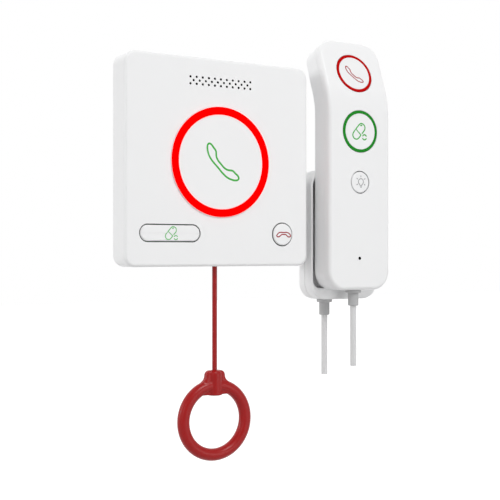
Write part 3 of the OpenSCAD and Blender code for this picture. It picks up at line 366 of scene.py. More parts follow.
def combine(obj: bpy.types.Object, others: Iterable[bpy.types.Object], way: Combination,
            painted_shade: Finish | None = None) -> None:
    """Combines closed forms with an object, one after another, and removes them.

    Args:
        obj: The object, which holds its finish already where the cut faces get painted shade.
        others: Closed forms that overlap it.
        way: Whether they are cut out of it or joined to it.
        painted_shade: Painted shade that the faces they leave get: a near-black finish standing in for the
            shade inside holes.
    """
    for other in others:
        boolean = obj.modifiers.new("combine", "BOOLEAN")
        boolean.operation = way.value
        boolean.solver = "EXACT"
        boolean.object = other
        if painted_shade:
            other.data.materials.append(painted_shade.material())
            boolean.material_mode = "TRANSFER"
        bake(obj)
        weld(obj.data)
        bpy.data.objects.remove(other)


def cut(obj: bpy.types.Object, tools: Iterable[bpy.types.Object], painted_shade: Finish | None = None) -> None:
    """Cuts closed tools out of an object and gives the cut faces painted shade where a finish for it is named.
    """
    combine(obj, tools, Combination.CUT, painted_shade)


def unite(obj: bpy.types.Object, parts: Iterable[bpy.types.Object]) -> None:
    """Joins closed parts to an object."""
    combine(obj, parts, Combination.JOIN)


def soften(obj: bpy.types.Object, width: float, segments: int = 2, angle: float = 50.0) -> None:
    """Breaks an object's sharp edges with a small bevel.

    Args:
        obj: The object.
        width: Bevel width in millimetres.
        segments: Steps of the bevel.
        angle: Edges sharper than this, in degrees, are broken.
    """
    bevel = obj.modifiers.new("edges", "BEVEL")
    bevel.width = width * MM
    bevel.segments = segments
    bevel.limit_method = "ANGLE"
    bevel.angle_limit = math.radians(angle)
    bevel.use_clamp_overlap = True
    bake(obj)


def finish_piece(obj: bpy.types.Object, finish: Finish, body: Body, nodes: Sequence[str] = (),
                 angle: float = SMOOTH_ANGLE) -> bpy.types.Object:
    """Dresses a finished piece, hangs it on its body and hides the CAD nodes that it stands for.

    Args:
        obj: The piece, in place.
        finish: Its finish.
        body: The body that it rides on.
        nodes: CAD nodes that it replaces.
        angle: Sharpest edge that is still shaded smooth, in degrees.

    Returns:
        The piece.
    """
    if obj.type == "MESH":
        smooth(obj, angle)
    if not obj.data.materials:
        obj.data.materials.append(finish.material())
    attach(obj, body.value)
    if nodes:
        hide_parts(*nodes)
    LOG.info("%s rides on %s in %s", obj.name, body.value, finish.name)
    return obj


def bevel_edges(bm: bmesh.types.BMesh, edges: list[bmesh.types.BMEdge], offset: float, segments: int) -> None:
    """Rounds chosen edges of a bmesh by an offset in millimetres."""
    bmesh.ops.bevel(bm, geom=edges, offset=offset * MM, offset_type="OFFSET", segments=segments,
                    profile=0.5, affect="EDGES", clamp_overlap=False, material=-1)


def slab(width: float, height: float, back: float, front: float, centre: Point2 = (0.0, 0.0),
         corner: float = 0.0, corner_steps: int = 14, front_r: float = 0.0, back_r: float = 0.0,
         edge_steps: int = 7) -> bmesh.types.BMesh:
    """Rounded slab parallel to the wall, from a cube with bevelled edges.

    Args:
        width: Size along X in millimetres.
        height: Size along Z.
        back: Distance of its back from the wall.
        front: Distance of its front from the wall.
        centre: Its middle, sideways and in height.
        corner: Corner radius in front view.
        corner_steps: Steps of each corner.
        front_r: Rounding of the front edge.
        back_r: Rounding of the back edge.
        edge_steps: Steps of the edge roundings.

    Returns:
        The slab as a bmesh.
    """
    bm = bmesh.new()
    bmesh.ops.create_cube(bm, size=1.0)
    bmesh.ops.scale(bm, vec=Vector((width, front - back, height)) * MM, verts=bm.verts)
    bmesh.ops.translate(bm, vec=at(centre[0], (front + back) / 2, centre[1]), verts=bm.verts)
    if corner:
        upright = [e for e in bm.edges
                   if abs((e.verts[0].co - e.verts[1].co).y) > (front - back) * MM * 0.9]
        bevel_edges(bm, upright, corner, corner_steps)
    for radius, level in ((front_r, front), (back_r, back)):
        if radius:
            rim = [e for e in bm.edges if all(abs(v.co.y + level * MM) < TINY for v in e.verts)]
            bevel_edges(bm, rim, radius, edge_steps)
    return bm


def turned(profile: Sequence[Point2], centre: Point2, steps: int = 96) -> bmesh.types.BMesh:
    """Turns a profile of radius and distance out about an axis square to the wall.

    Args:
        profile: Points of radius and distance out in millimetres; it may start and end on the axis.
        centre: Where the axis meets the wall, sideways and in height.
        steps: Steps of the full turn.

    Returns:
        The closed form as a bmesh.
    """
    bm = bmesh.new()
    verts = [bm.verts.new(at(r, out, 0.0)) for r, out in profile]
    edges = [bm.edges.new(pair) for pair in zip(verts, verts[1:])]
    if profile[0][0] > 0.0 and profile[-1][0] > 0.0:
        edges.append(bm.edges.new((verts[-1], verts[0])))
    bmesh.ops.spin(bm, geom=verts + edges, cent=(0.0, 0.0, 0.0), axis=(0.0, 1.0, 0.0),
                   angle=math.tau, steps=steps, use_merge=True, use_duplicate=False)
    bmesh.ops.remove_doubles(bm, verts=bm.verts, dist=TINY)
    bmesh.ops.recalc_face_normals(bm, faces=bm.faces)
    bmesh.ops.translate(bm, vec=at(centre[0], 0.0, centre[1]), verts=bm.verts)
    return bm


def turned_upright(profile: Sequence[Point2], place: Point2, steps: int = 64) -> bmesh.types.BMesh:
    """Turns a profile of radius and height about an upright axis.

    Args:
        profile: Points of radius and height in millimetres, from the axis and back to it.
        place: Where the axis stands, sideways and out from the wall.
        steps: Steps of the full turn.

    Returns:
        The closed form as a bmesh.
    """
    bm = turned(profile, (0.0, 0.0), steps)
    bmesh.ops.rotate(bm, cent=(0, 0, 0), matrix=Matrix.Rotation(-math.pi / 2, 3, "X"), verts=bm.verts)
    bmesh.ops.translate(bm, vec=at(*place, 0.0), verts=bm.verts)
    return bm


def arc(centre: Point2, radius: float, start: float, end: float, steps: int = 6) -> list[Point2]:
    """Points of an arc in a plane, from a start to an end angle in degrees."""
    angles = [math.radians(start + (end - start) * i / steps) for i in range(steps + 1)]
    return [(centre[0] + radius * math.cos(a), centre[1] + radius * math.sin(a)) for a in angles]


def rounded(corner: Point2, radius: float, start: float, end: float, steps: int) -> list[Point2]:
    """Points of the arc that rounds a square corner of a profile.

    Args:
        corner: Where the sides would meet.
        radius: Radius of the arc, in the corner's unit.
        start: Angle that it starts at, in degrees.
        end: Angle that it ends at.
        steps: Steps of the arc.

    Returns:
        Its points, from start to end.
    """
    middle = math.radians((start + end) / 2)
    centre = (corner[0] - math.copysign(radius, math.cos(middle)),
              corner[1] - math.copysign(radius, math.sin(middle)))
    return arc(centre, radius, start, end, steps)


def plug(radius: float, centre: Point2, back: float, front: float, steps: int = 64) -> bpy.types.Object:
    """Round cutting tool square to the wall."""
    return loose("tool", turned([(0.0, back), (radius, back), (radius, front), (0.0, front)], centre, steps))


def plugs(radius: float, places: Iterable[Point2], back: float, front: float,
          steps: int = 20) -> bpy.types.Object:
    """One cutting tool made of equal round bars square to the wall.

    Args:
        radius: Radius of each bar in millimetres.
        places: Their middles, sideways and in height.
        back: Distance of their back ends from the wall.
        front: Distance of their front ends.
        steps: Steps of each circle.

    Returns:
        The tool.
    """
    bm = bmesh.new()
    for x, z in places:
        bar = bmesh.ops.create_cone(bm, cap_ends=True, segments=steps, radius1=radius * MM,
                                    radius2=radius * MM, depth=(front - back) * MM)["verts"]
        bmesh.ops.rotate(bm, cent=(0, 0, 0), matrix=Matrix.Rotation(math.pi / 2, 3, "X"), verts=bar)
        bmesh.ops.translate(bm, vec=at(x, (front + back) / 2, z), verts=bar)
    return loose("tool", bm)


def bore(radius: float, place: Point3, length: float = 8.0) -> bpy.types.Object:
    """Upright round cutting tool.

    Args:
        radius: Its radius in millimetres.
        place: Its middle: sideways, out from the wall and in height.
        length: Its length.

    Returns:
        The tool.
    """
    bm = bmesh.new()
    bmesh.ops.create_cone(bm, cap_ends=True, segments=48, radius1=radius * MM, radius2=radius * MM,
                          depth=length * MM)
    bmesh.ops.translate(bm, vec=at(*place), verts=bm.verts)
    return loose("tool", bm)


def oblong(name: str, width: float, height: float, centre: Point2, back: float, front: float,
           front_r: float = 0.0) -> bpy.types.Object:
    """Form with round ends, square to the wall, a cutting tool or a button."""
    return loose(name, slab(width, height, back, front, centre, corner=height / 2 - 0.001, corner_steps=24,
                            front_r=front_r, edge_steps=5))


# Curves, drawn with a round pen

def line_curve(name: str, width: float, roundness: int) -> bpy.types.Curve:
    """Starts a curve that shows as a round line with closed ends.

    Args:
        name: Name of the curve.
        width: Width of the line in millimetres.
        roundness: How finely its section is rounded.

    Returns:
        The curve, still empty.
    """
    curve = bpy.data.curves.new(name, "CURVE")
    curve.dimensions = "3D"
    curve.bevel_depth = width / 2 * MM
    curve.bevel_resolution = roundness
    curve.use_fill_caps = True
    return curve


def straight_line(curve: bpy.types.Curve, places: Sequence[Sequence[float]]) -> bpy.types.Spline:
    """Draws a line of straight stretches in a curve.

    Args:
        curve: The curve.
        places: Its points in metres.

    Returns:
        The line.
    """
    spline = curve.splines.new("POLY")
    spline.points.add(len(places) - 1)
    for point, place in zip(spline.points, places):
        point.co = (*place, 1.0)
    return spline


def flowing_line(curve: bpy.types.Curve, places: Sequence[Sequence[float]]) -> bpy.types.Spline:
    """Draws a smooth line through points in a curve.

    Args:
        curve: The curve.
        places: The points in metres.

    Returns:
        The line.
    """
    spline = curve.splines.new("BEZIER")
    spline.bezier_points.add(len(places) - 1)
    for knot, place in zip(spline.bezier_points, places):
        knot.co = place
        knot.handle_left_type = knot.handle_right_type = "AUTO"
    return spline


def plumb_line(x: float, out: float, top: float, end: float, steps: int) -> list[Point3]:
    """Places points on a line straight down, in metres, from sizes in millimetres."""
    return [tuple(at(x, out, top + (end - top) * i / steps)) for i in range(steps + 1)]


# Signs printed on the buttons

@dataclass(frozen=True)
class Sign:
    """A pictogram drawn with strokes of one width.

    Attributes:
        strokes: Points of each stroke in millimetres, and whether it closes on itself.
        width: Width of the strokes.
        relief: How far the print stands proud.
        flowing: True where smooth curves run through the points, False for straight stretches between them.
    """

    strokes: tuple[tuple[tuple[Point2, ...], bool], ...]
    width: float
    relief: float = 0.06
    flowing: bool = True

    def build(self, name: str, centre: Point2, surface: float, scale: float = 1.0,
              turn: float = 0.0) -> bpy.types.Object:
        """Draws the sign on a surface parallel to the wall.

        Args:
            name: Name of the piece.
            centre: Its middle, sideways and in height, in millimetres.
            surface: Distance of the surface from the wall.
            scale: Size factor.
            turn: Turn about the axis square to the wall, in degrees.

        Returns:
            The sign as a mesh object in place.
        """
        curve = line_curve(name, self.width, 2)
        curve.resolution_u = 6
        cos, sin = math.cos(math.radians(turn)) * scale, math.sin(math.radians(turn)) * scale
        for points, closed in self.strokes:
            places = [Vector((a * cos - b * sin, 0.0, a * sin + b * cos)) * MM for a, b in points]
            stroke = flowing_line(curve, places) if self.flowing else straight_line(curve, places)
            stroke.use_cyclic_u = closed
        drawn = placed(name, curve)
        mesh = bpy.data.meshes.new_from_object(drawn.evaluated_get(bpy.context.evaluated_depsgraph_get()))
        bpy.data.objects.remove(drawn)
        bpy.data.curves.remove(curve)
        flatten = Matrix.Diagonal((1.0, 2 * self.relief / self.width, 1.0, 1.0))
        mesh.transform(Matrix.Translation(at(centre[0], surface, centre[1])) @ flatten)
        weld(mesh, 0.0001)
        return placed(name, mesh)


def mirrored_outline(half: Sequence[Point2]) -> tuple[Point2, ...]:
    """Closes half an outline, given from one end of its mirror line to the other, with its mirror image."""
    return tuple(half) + tuple((-a, b) for a, b in reversed(half) if abs(a) > TINY)


def round_stroke(centre: Point2, radius: float, start: float, end: float) -> tuple[Point2, ...]:
    """Open stroke along an arc."""
    return tuple(arc(centre, radius, start, end, 10))


PHONE_OUTLINE = mirrored_outline([
    (0.0, -5.15), (4.5, -5.2), (8.3, -4.7), (11.0, -3.5), (13.0, -2.0), (13.9, -0.6), (13.7, 0.5),
    (12.7, 1.0), (10.0, 0.85), (7.9, 0.65), (7.3, 0.3), (5.3, -1.4), (3.6, -2.1), (0.0, -2.3)])
PHONE = Sign(((PHONE_OUTLINE, True),), 1.1)
PHONE_FINE = Sign(((PHONE_OUTLINE, True),), 0.75)
PHONE_DOWN = Sign(((mirrored_outline([
    (0.0, 1.25), (2.4, 1.3), (3.6, 0.85), (4.7, -0.3), (4.85, -0.85), (4.1, -1.35), (3.1, -1.25),
    (2.2, -0.55), (1.3, 0.05), (0.0, 0.05)]), True),), 0.7)


def capsule_sign(width: float) -> Sign:
    """Capsule with its seam and a highlight, beside a small tablet with a broken edge.

    Args:
        width: Width of the strokes.

    Returns:
        The sign, about ten millimetres tall.
    """
    half, reach, seam, lean = 2.6, 3.05, -0.55, math.radians(-41)
    upper = [(-half, seam)] + arc((0.0, reach), half, 180, 0, 14) + [(half, 0.4)]
    lower = [(half, seam)] + arc((0.0, -reach), half, 0, -180, 14) + [(-half, seam), (half, seam)]

    def turned_out(points: Iterable[Point2]) -> tuple[Point2, ...]:
        """Turns points of the upright capsule to its lean."""
        cos, sin = math.cos(lean), math.sin(lean)
        return tuple((a * cos - b * sin - 0.95, a * sin + b * cos) for a, b in points)

    shine = arc((0.0, reach), half - 1.1, 170, 110, 3)
    tablet, tablet_r = (3.25, -3.4), 1.55
    halves = [round_stroke(tablet, tablet_r, start, start + 140) for start in (20, 200)]
    return Sign(tuple((stroke, False) for stroke in [*map(turned_out, (upper, lower, shine)), *halves]),
                width, flowing=False)


LAMP_SIGN = Sign((
    (((-0.75, -2.3), (-0.85, -1.75), *arc((0.0, 0.0), 1.9, 243, -63, 12), (0.85, -1.75), (0.75, -2.3)),
     False),
    (((-0.8, -2.5), (0.8, -2.5)), False), (((-0.6, -3.3), (0.6, -3.3)), False),
    *[(tuple(arc((0.0, 0.0), r, a, a, 1)[0] for r in (2.75, 3.85)), False) for a in (-32, 32, 90, 148, 212)]),
    0.6, flowing=False)


# Wall panel

@dataclass
class WallPanel:
    """The square call panel and its buttons; sizes in millimetres."""

    size: float = 120.0
    depth: float = 17.0
    corner: float = 6.5
    edge: float = 1.8
    wall: float = 2.2
    reveal: float = 0.4
    call_centre: Point2 = (0.0, 0.4)
    call_hole_r: float = 32.1
    ring_r: float = 31.85
    ring_skirt_r: float = 32.06
    disc_r: float = 27.5
    call_top: float = 18.2
    disc_top: float = 17.75
    lit_from: float = 17.65
    disc_t: float = 1.5
    disc_wall: float = 1.6
    flange_r: float = 33.6
    flange_front: float = 14.5
    flange_back: float = 13.3
    disc_edge: float = 0.3
    ring_edges: Point2 = (0.35, 0.2)
    skirt_edge: float = 0.1
    broken_edge: float = 0.14
    medication_centre: Point2 = (-32.2, -41.0)
    medication_size: Point2 = (37.0, 9.1)
    medication_raise: float = 0.3
    cancel_centre: Point2 = (41.8, -41.1)
    cancel_r: float = 6.55
    cancel_raise: float = 0.9
    cancel_crown: float = 0.05
    key_edge: float = 0.9
    key_gap: float = 0.6
    key_wall: float = 1.5
    medication_hollow: float = 15.5
    cancel_hollow: float = 15.8
    speaker_z: float = 46.4
    speaker_pitch: float = 3.93
    speaker_row: float = 1.97
    speaker_r: float = 0.7
    bush_r: float = 2.95

    def build(self) -> None:
        """Builds the cover, the buttons and their signs."""
        self.cover()
        self.call_button()
        self.small_buttons()
        self.signs()

    def speaker_places(self) -> list[Point2]:
        """Places the speaker holes in three rows, of which the middle one is a hole shorter.

        Returns:
            Their middles, sideways and in height.
        """
        rows = ((-1, 11), (0, 10), (1, 11))
        return [((i - (count - 1) / 2) * self.speaker_pitch, self.speaker_z + row * self.speaker_row)
                for row, count in rows for i in range(count)]

    def cover(self) -> None:
        """Builds the white cover with its openings and breaks their edges; the walls of the speaker holes get
        painted shade.
        """
        cover = loose("panel_cover", slab(self.size, self.size, self.reveal, self.depth, corner=self.corner,
                                          front_r=self.edge))
        inner = self.size - 2 * self.wall
        hollow = loose("tool", slab(inner, inner, self.reveal - PAST, self.depth - self.wall,
                                    corner=self.corner - self.wall))
        front, back = self.depth + PAST, self.depth - self.wall - PAST
        width, height = (s + 2 * self.key_gap for s in self.medication_size)
        keys = [oblong("tool", width, height, self.medication_centre, back, front),
                plug(self.cancel_r + self.key_gap, self.cancel_centre, back, front)]
        cut(cover, [hollow, plug(self.call_hole_r, self.call_centre, back, front, 128), *keys,
                    bore(self.bush_r, (0.0, CORD_OUT, -self.size / 2))])
        soften(cover, self.broken_edge)
        cover.data.materials.append(WHITE.material())
        # painted shade: the speaker holes' walls are coloured near black for the shade inside them
        cut(cover, [plugs(self.speaker_r, self.speaker_places(), back, front)], PAINTED_HOLE_SHADE)
        finish_piece(cover, WHITE, Body.BASE, ["front_cover"])

    def call_button(self) -> None:
        """Builds the large disc and the lit ring round it, whose outer wall carries a painted pale glow."""
        inner, under = self.disc_r - self.disc_wall, self.disc_top - self.disc_t
        disc = turned([(0.0, self.disc_top),
                       *rounded((self.disc_r, self.disc_top), self.disc_edge, 90, 0, 4),
                       (self.disc_r, self.flange_front), (self.flange_r, self.flange_front),
                       (self.flange_r, self.flange_back), (inner, self.flange_back), (inner, under),
                       (0.0, under)], self.call_centre, 160)
        finish_piece(loose("call_disc", disc), WHITE_KEY, Body.CALL, ["call_button"])
        ring = turned([(self.disc_r, self.flange_front), (self.ring_skirt_r, self.flange_front),
                       (self.ring_skirt_r, self.depth - self.skirt_edge), (self.ring_r, self.depth),
                       (self.ring_r, self.lit_from),
                       *rounded((self.ring_r, self.call_top), self.ring_edges[0], 0, 90, 4),
                       *rounded((self.disc_r, self.call_top), self.ring_edges[1], 90, 180, 3)],
                      self.call_centre, 160)
        # outer wall faces below lit_from get the pale pink of painted glow; the other faces glow red
        for face in ring.faces:
            outer = face.calc_center_median() - at(self.call_centre[0], 0.0, self.call_centre[1])
            wall = -outer.y < self.lit_from * MM and math.hypot(outer.x, outer.z) > (self.ring_r - 1.0) * MM
            face.material_index = 1 if wall else 0
        lit = loose("call_ring", ring)
        for finish in (RING_LIT, RING_PAINTED_GLOW_RIM):
            lit.data.materials.append(finish.material())
        finish_piece(lit, RING_LIT, Body.CALL, ["call_light_ring"])

    def small_buttons(self) -> None:
        """Builds the oblong medication button and the round cancel button, both slightly crowned."""
        width, height = self.medication_size
        top = self.depth + self.medication_raise
        key = oblong("medication_key", width, height, self.medication_centre, self.flange_front, top,
                     self.key_edge)
        cut(key, [oblong("tool", width - 2 * self.key_wall, height - 2 * self.key_wall,
                         self.medication_centre, self.flange_front - PAST, self.medication_hollow)])
        self.shade_skirt(key, top)
        finish_piece(key, WHITE_KEY, Body.MEDICATION, ["medication_button"])
        top = self.depth + self.cancel_raise
        inner = self.cancel_r - self.key_wall
        cap = turned([(0.0, self.cancel_hollow), (inner, self.cancel_hollow), (inner, self.flange_front),
                      (self.cancel_r, self.flange_front),
                      *rounded((self.cancel_r, top), self.key_edge, 0, 80, 6),
                      (0.0, top + self.cancel_crown)], self.cancel_centre)
        cancel = loose("cancel_key", cap)
        self.shade_skirt(cancel, top)
        finish_piece(cancel, WHITE_KEY, Body.CANCEL, ["cancel_button"])

    def shade_skirt(self, key: bpy.types.Object, top: float) -> None:
        """Darkens the sides of a small button below the front of the cover, where the gap is, with painted
        shade.

        Args:
            key: The button.
            top: Distance of its top from the wall.
        """
        for finish in (WHITE_KEY, PAINTED_GAP_SHADE):
            key.data.materials.append(finish.material())
        # painted shade on side faces more than a millimetre below the button's top
        for face in key.data.polygons:
            low = min(-key.data.vertices[i].co.y for i in face.vertices) / MM
            face.material_index = 1 if abs(face.normal.y) < 0.5 and low < top - 1.0 else 0

    def signs(self) -> None:
        """Prints the signs on the three buttons."""
        x, z = self.call_centre
        finish_piece(PHONE.build("call_sign", (x + 1.4, z + 0.3), self.disc_top, turn=-45), SIGN_GREEN,
                     Body.CALL)
        x, z = self.medication_centre
        finish_piece(capsule_sign(0.6).build("medication_sign", (x + 0.8, z),
                                             self.depth + self.medication_raise, scale=0.74),
                     SIGN_GREEN_PALE, Body.MEDICATION)
        finish_piece(PHONE_DOWN.build("cancel_sign", (self.cancel_centre[0] + 0.5, self.cancel_centre[1] - 0.1),
                                      self.depth + self.cancel_raise + 0.04), SIGN_RED, Body.CANCEL)


# Pull cord

@dataclass
class PullCord:
    """The cord below the panel and its ring; sizes in millimetres."""

    out: float = CORD_OUT
    top: float = -43.5
    exit_z: float = -60.0
    knob_top: float = -120.8
    knob_bottom: float = -135.4
    diameter: float = 2.9
    ring_z: float = -149.9
    ring_r: float = 20.35
    bar_r: float = 3.6
    knob_w: float = 12.3
    shoulder_r: float = 3.0
    fillet_r: float = 4.0
    underside: float = -135.1
    web_t: float = 4.6
    web_edge: float = 0.9
    boss_r: float = 4.3
    boss_edge: float = 2.2
    voxel: float = 0.28

    def build(self) -> None:
        """Builds the ring and the cord that carries it."""
        ring = self.ring()
        cord = cord_curve("pull_cord_sheath", plumb_line(0.0, self.out, self.top, self.knob_top, 11),
                          self.diameter)
        finish_piece(cord, RED_CORD, Body.PULL, ["pull_cord"])

    def ring(self) -> bpy.types.Object:
        """Builds the ring and its knob as one moulding with soft transitions.

        Returns:
            The ring.
        """
        bm = bmesh.new()
        section = bmesh.ops.create_circle(bm, segments=40, radius=self.bar_r * MM)["verts"]
        bmesh.ops.translate(bm, vec=(self.ring_r * MM, 0.0, 0.0), verts=section)
        bmesh.ops.rotate(bm, cent=(0, 0, 0), matrix=Matrix.Rotation(math.pi / 2, 3, "X"), verts=section)
        bmesh.ops.rotate(bm, cent=(self.ring_r * MM, 0, 0), matrix=Matrix.Rotation(math.pi / 2, 3, "X"),
                         verts=section)
        bmesh.ops.spin(bm, geom=list(bm.verts) + list(bm.edges), cent=(0, 0, 0), axis=(0, 1, 0),
                       angle=math.tau, steps=120, use_merge=True, use_duplicate=False)
        bmesh.ops.recalc_face_normals(bm, faces=bm.faces)
        bmesh.ops.translate(bm, vec=at(0.0, self.out, self.ring_z), verts=bm.verts)
        body = loose("pull_ring_moulding", bm)
        unite(body, [self.web(), self.boss()])
        remesh = body.modifiers.new("even", "REMESH")
        remesh.mode = "VOXEL"
        remesh.voxel_size = self.voxel * MM
        soft = body.modifiers.new("soft", "SMOOTH")
        soft.factor = 0.5
        soft.iterations = 14
        bake(body)
        return finish_piece(body, RED_PLASTIC, Body.PULL, ["pull_ring"], angle=80)

    def web(self) -> bpy.types.Object:
        """Draws the flat web of the knob, from its shoulders to where it runs into the ring.

        Returns:
            The web, ready to be joined to the ring.
        """
        half, outer, fillet = self.knob_w / 2, self.ring_r + self.bar_r, self.fillet_r
        lean = math.degrees(math.asin((half + fillet) / (outer + fillet)))
        middle = (half + fillet, self.ring_z + (outer + fillet) * math.cos(math.radians(lean)))
        shoulder = min(self.shoulder_r, self.knob_top - middle[1] - 0.1)
        end = math.sqrt(self.ring_r ** 2 - (self.underside - self.ring_z) ** 2)
        side = [(0.0, self.knob_top),
                *rounded((half, self.knob_top), shoulder, 90, 0, 6),
                *arc(middle, fillet, 180, 270 - lean, 5),
                (self.ring_r * math.sin(math.radians(lean)),
                 self.ring_z + self.ring_r * math.cos(math.radians(lean))),
                (end, self.underside), (0.0, self.underside)]
        outline = side[1:-1] + [(-a, b) for a, b in reversed(side[1:-1])]
        bm = bmesh.new()
        face = bm.faces.new([bm.verts.new(at(x, self.out - self.web_t / 2, z)) for x, z in outline])
        raised = bmesh.ops.extrude_face_region(bm, geom=[face])["geom"]
        bmesh.ops.translate(bm, vec=at(0.0, self.web_t, 0.0),
                            verts=[g for g in raised if isinstance(g, bmesh.types.BMVert)])
        bmesh.ops.recalc_face_normals(bm, faces=bm.faces)
        flat = [e for e in bm.edges if abs(e.verts[0].co.y - e.verts[1].co.y) < TINY]
        bevel_edges(bm, flat, self.web_edge, 3)
        return loose("tool", bm)

    def boss(self) -> bpy.types.Object:
        """Turns the round boss through the knob, rounded at its top.

        Returns:
            The boss, ready to be joined to the ring.
        """
        return loose("tool", turned_upright([
            (0.0, self.knob_bottom), (self.boss_r, self.knob_bottom),
            *rounded((self.boss_r, self.knob_top), self.boss_edge, 0, 90, 6), (0.0, self.knob_top)],
            (0.0, self.out)))


def cord_curve(name: str, route: Sequence[Point3], diameter: float) -> bpy.types.Object:
    """Round cord along a route.

    Args:
        name: Name of the piece.
        route: Points in metres.
        diameter: Diameter in millimetres.

    Returns:
        A curve object of one open spline with closed ends.
    """
    curve = line_curve(name, diameter, 6)
    straight_line(curve, route).use_smooth = True
    return placed(name, curve)


# Cables

@dataclass
class Cable:
    """A cut cable and the strain relief that it leaves its housing by; sizes in millimetres."""

    name: str
    body: Body
    x: float
    out: float
    top: float
    end: float
    relief_node: str
    cord_node: str
    diameter: float = 3.85
    flange_r: float = 4.85
    flange_t: float = 1.8
    sleeve_r: float = 3.25
    sleeve_l: float = 8.0
    plug_r: float = 2.6
    plug_l: float = 3.0
    top_edge: float = 0.3
    low_edge: float = 0.5
    fillet_r: float = 0.5
    end_edge: float = 0.4

    def build(self) -> None:
        """Builds the strain relief and the cable below it."""
        low = self.top - self.flange_t - self.sleeve_l
        relief = self.relief(low)
        route = plumb_line(self.x, self.out, low, self.end, 14)
        cord = cord_curve(f"{self.name}_cable", route, self.diameter)
        finish_piece(cord, CABLE, self.body, [self.cord_node])
        LOG.info("%s hangs from %s", cord.name, relief.name)

    def relief(self, low: float) -> bpy.types.Object:
        """Builds the strain relief, turned about the cable.

        Args:
            low: Height of its lower end.

        Returns:
            The strain relief.
        """
        flange_low = self.top - self.flange_t
        plug_top = self.top + self.plug_l
        profile = [(0.0, plug_top), (self.plug_r, plug_top), (self.plug_r, self.top),
                   *rounded((self.flange_r, self.top), self.top_edge, 90, 0, 3),
                   *rounded((self.flange_r, flange_low), self.low_edge, 0, -90, 4),
                   *rounded((self.sleeve_r, flange_low), self.fillet_r, 90, 180, 4),
                   *rounded((self.sleeve_r, low), self.end_edge, 0, -90, 4), (0.0, low)]
        return finish_piece(loose(f"{self.name}_relief", turned_upright(profile, (self.x, self.out))), RELIEF,
                            self.body, [self.relief_node])


# Cradle

@dataclass
class Cradle:
    """The wall cradle of the handset; sizes in millimetres."""

    x: float = HANDSET_X
    width: float = 50.2
    top: float = -0.3
    bottom: float = -81.2
    depth: float = 13.9
    corner: float = 10.5
    wall: float = 2.0
    seam: float = 6.1
    seam_gap: float = 0.25
    front_r: float = 0.9
    seam_r: float = 0.2
    back_r: float = 0.3
    broken_edge: float = 0.25
    rim: float = 1.1
    pocket_top: float = -5.3
    pocket_bottom: float = -74.0
    pocket_floor: float = 8.3
    pocket_corner: float = 5.0
    pocket_r: float = 0.8
    rib_x: float = 19.0
    rib_size: Point2 = (1.2, 24.0)
    rib_front: float = 11.3
    rib_z: float = -42.0
    rib_root: float = 0.5
    screw_z: Point2 = (-10.0, -70.0)
    screw_r: float = 1.55
    head_r: float = 2.7
    head_seat: float = 6.7
    wall_screw_up: float = 22.5
    wall_screw_r: float = 2.1

    def build(self) -> None:
        """Builds the cradle's body and the plate behind it."""
        centre = (self.x, (self.top + self.bottom) / 2)
        height = self.top - self.bottom
        self.body(centre, height)
        self.plate(centre, height)

    def body(self, centre: Point2, height: float) -> None:
        """Builds the body with its pocket, the two ribs that guide the handset's foot and the screw holes.

        Args:
            centre: Middle of the cradle, sideways and in height.
            height: Its height.
        """
        body = loose("cradle_shell", slab(self.width, height, self.seam + self.seam_gap, self.depth, centre,
                                          corner=self.corner, corner_steps=20, front_r=self.front_r,
                                          back_r=self.seam_r, edge_steps=4))
        pocket = loose("tool", slab(self.width - 2 * self.rim, self.pocket_top - self.pocket_bottom,
                                    self.pocket_floor, self.depth + 5 * PAST,
                                    (self.x, (self.pocket_top + self.pocket_bottom) / 2),
                                    corner=self.pocket_corner, corner_steps=10, back_r=self.pocket_r,
                                    edge_steps=3))
        cut(body, [pocket])
        unite(body, [loose("tool", slab(*self.rib_size, self.pocket_floor - self.rib_root,
                                        self.rib_front, (self.x + side * self.rib_x, self.rib_z)))
                     for side in (-1, 1)])
        places = [(self.x, z) for z in self.screw_z]
        cut(body, [plugs(self.screw_r, places, self.seam - PAST, self.depth + PAST, 32),
                   plugs(self.head_r, places, self.head_seat, self.depth + PAST, 40)])
        soften(body, self.broken_edge, 3)
        finish_piece(body, WHITE, Body.BASE, ["cradle_body"])

    def plate(self, centre: Point2, height: float) -> None:
        """Builds the hollow plate with its two wall screw holes.

        Args:
            centre: Middle of the cradle, sideways and in height.
            height: Its height.
        """
        plate = loose("cradle_back", slab(self.width, height, 0.0, self.seam, centre, corner=self.corner,
                                          corner_steps=20, front_r=self.seam_r, back_r=self.back_r,
                                          edge_steps=2))
        hollow = loose("tool", slab(self.width - 2 * self.wall, height - 2 * self.wall, self.wall,
                                    self.seam + PAST, centre, corner=self.corner - self.wall))
        holes = [(self.x, centre[1] + side * self.wall_screw_up) for side in (-1, 1)]
        cut(plate, [hollow, plugs(self.wall_screw_r, holes, -PAST, self.wall + PAST, 48)])
        finish_piece(plate, WHITE, Body.BASE, ["cradle_plate"])


# Handset

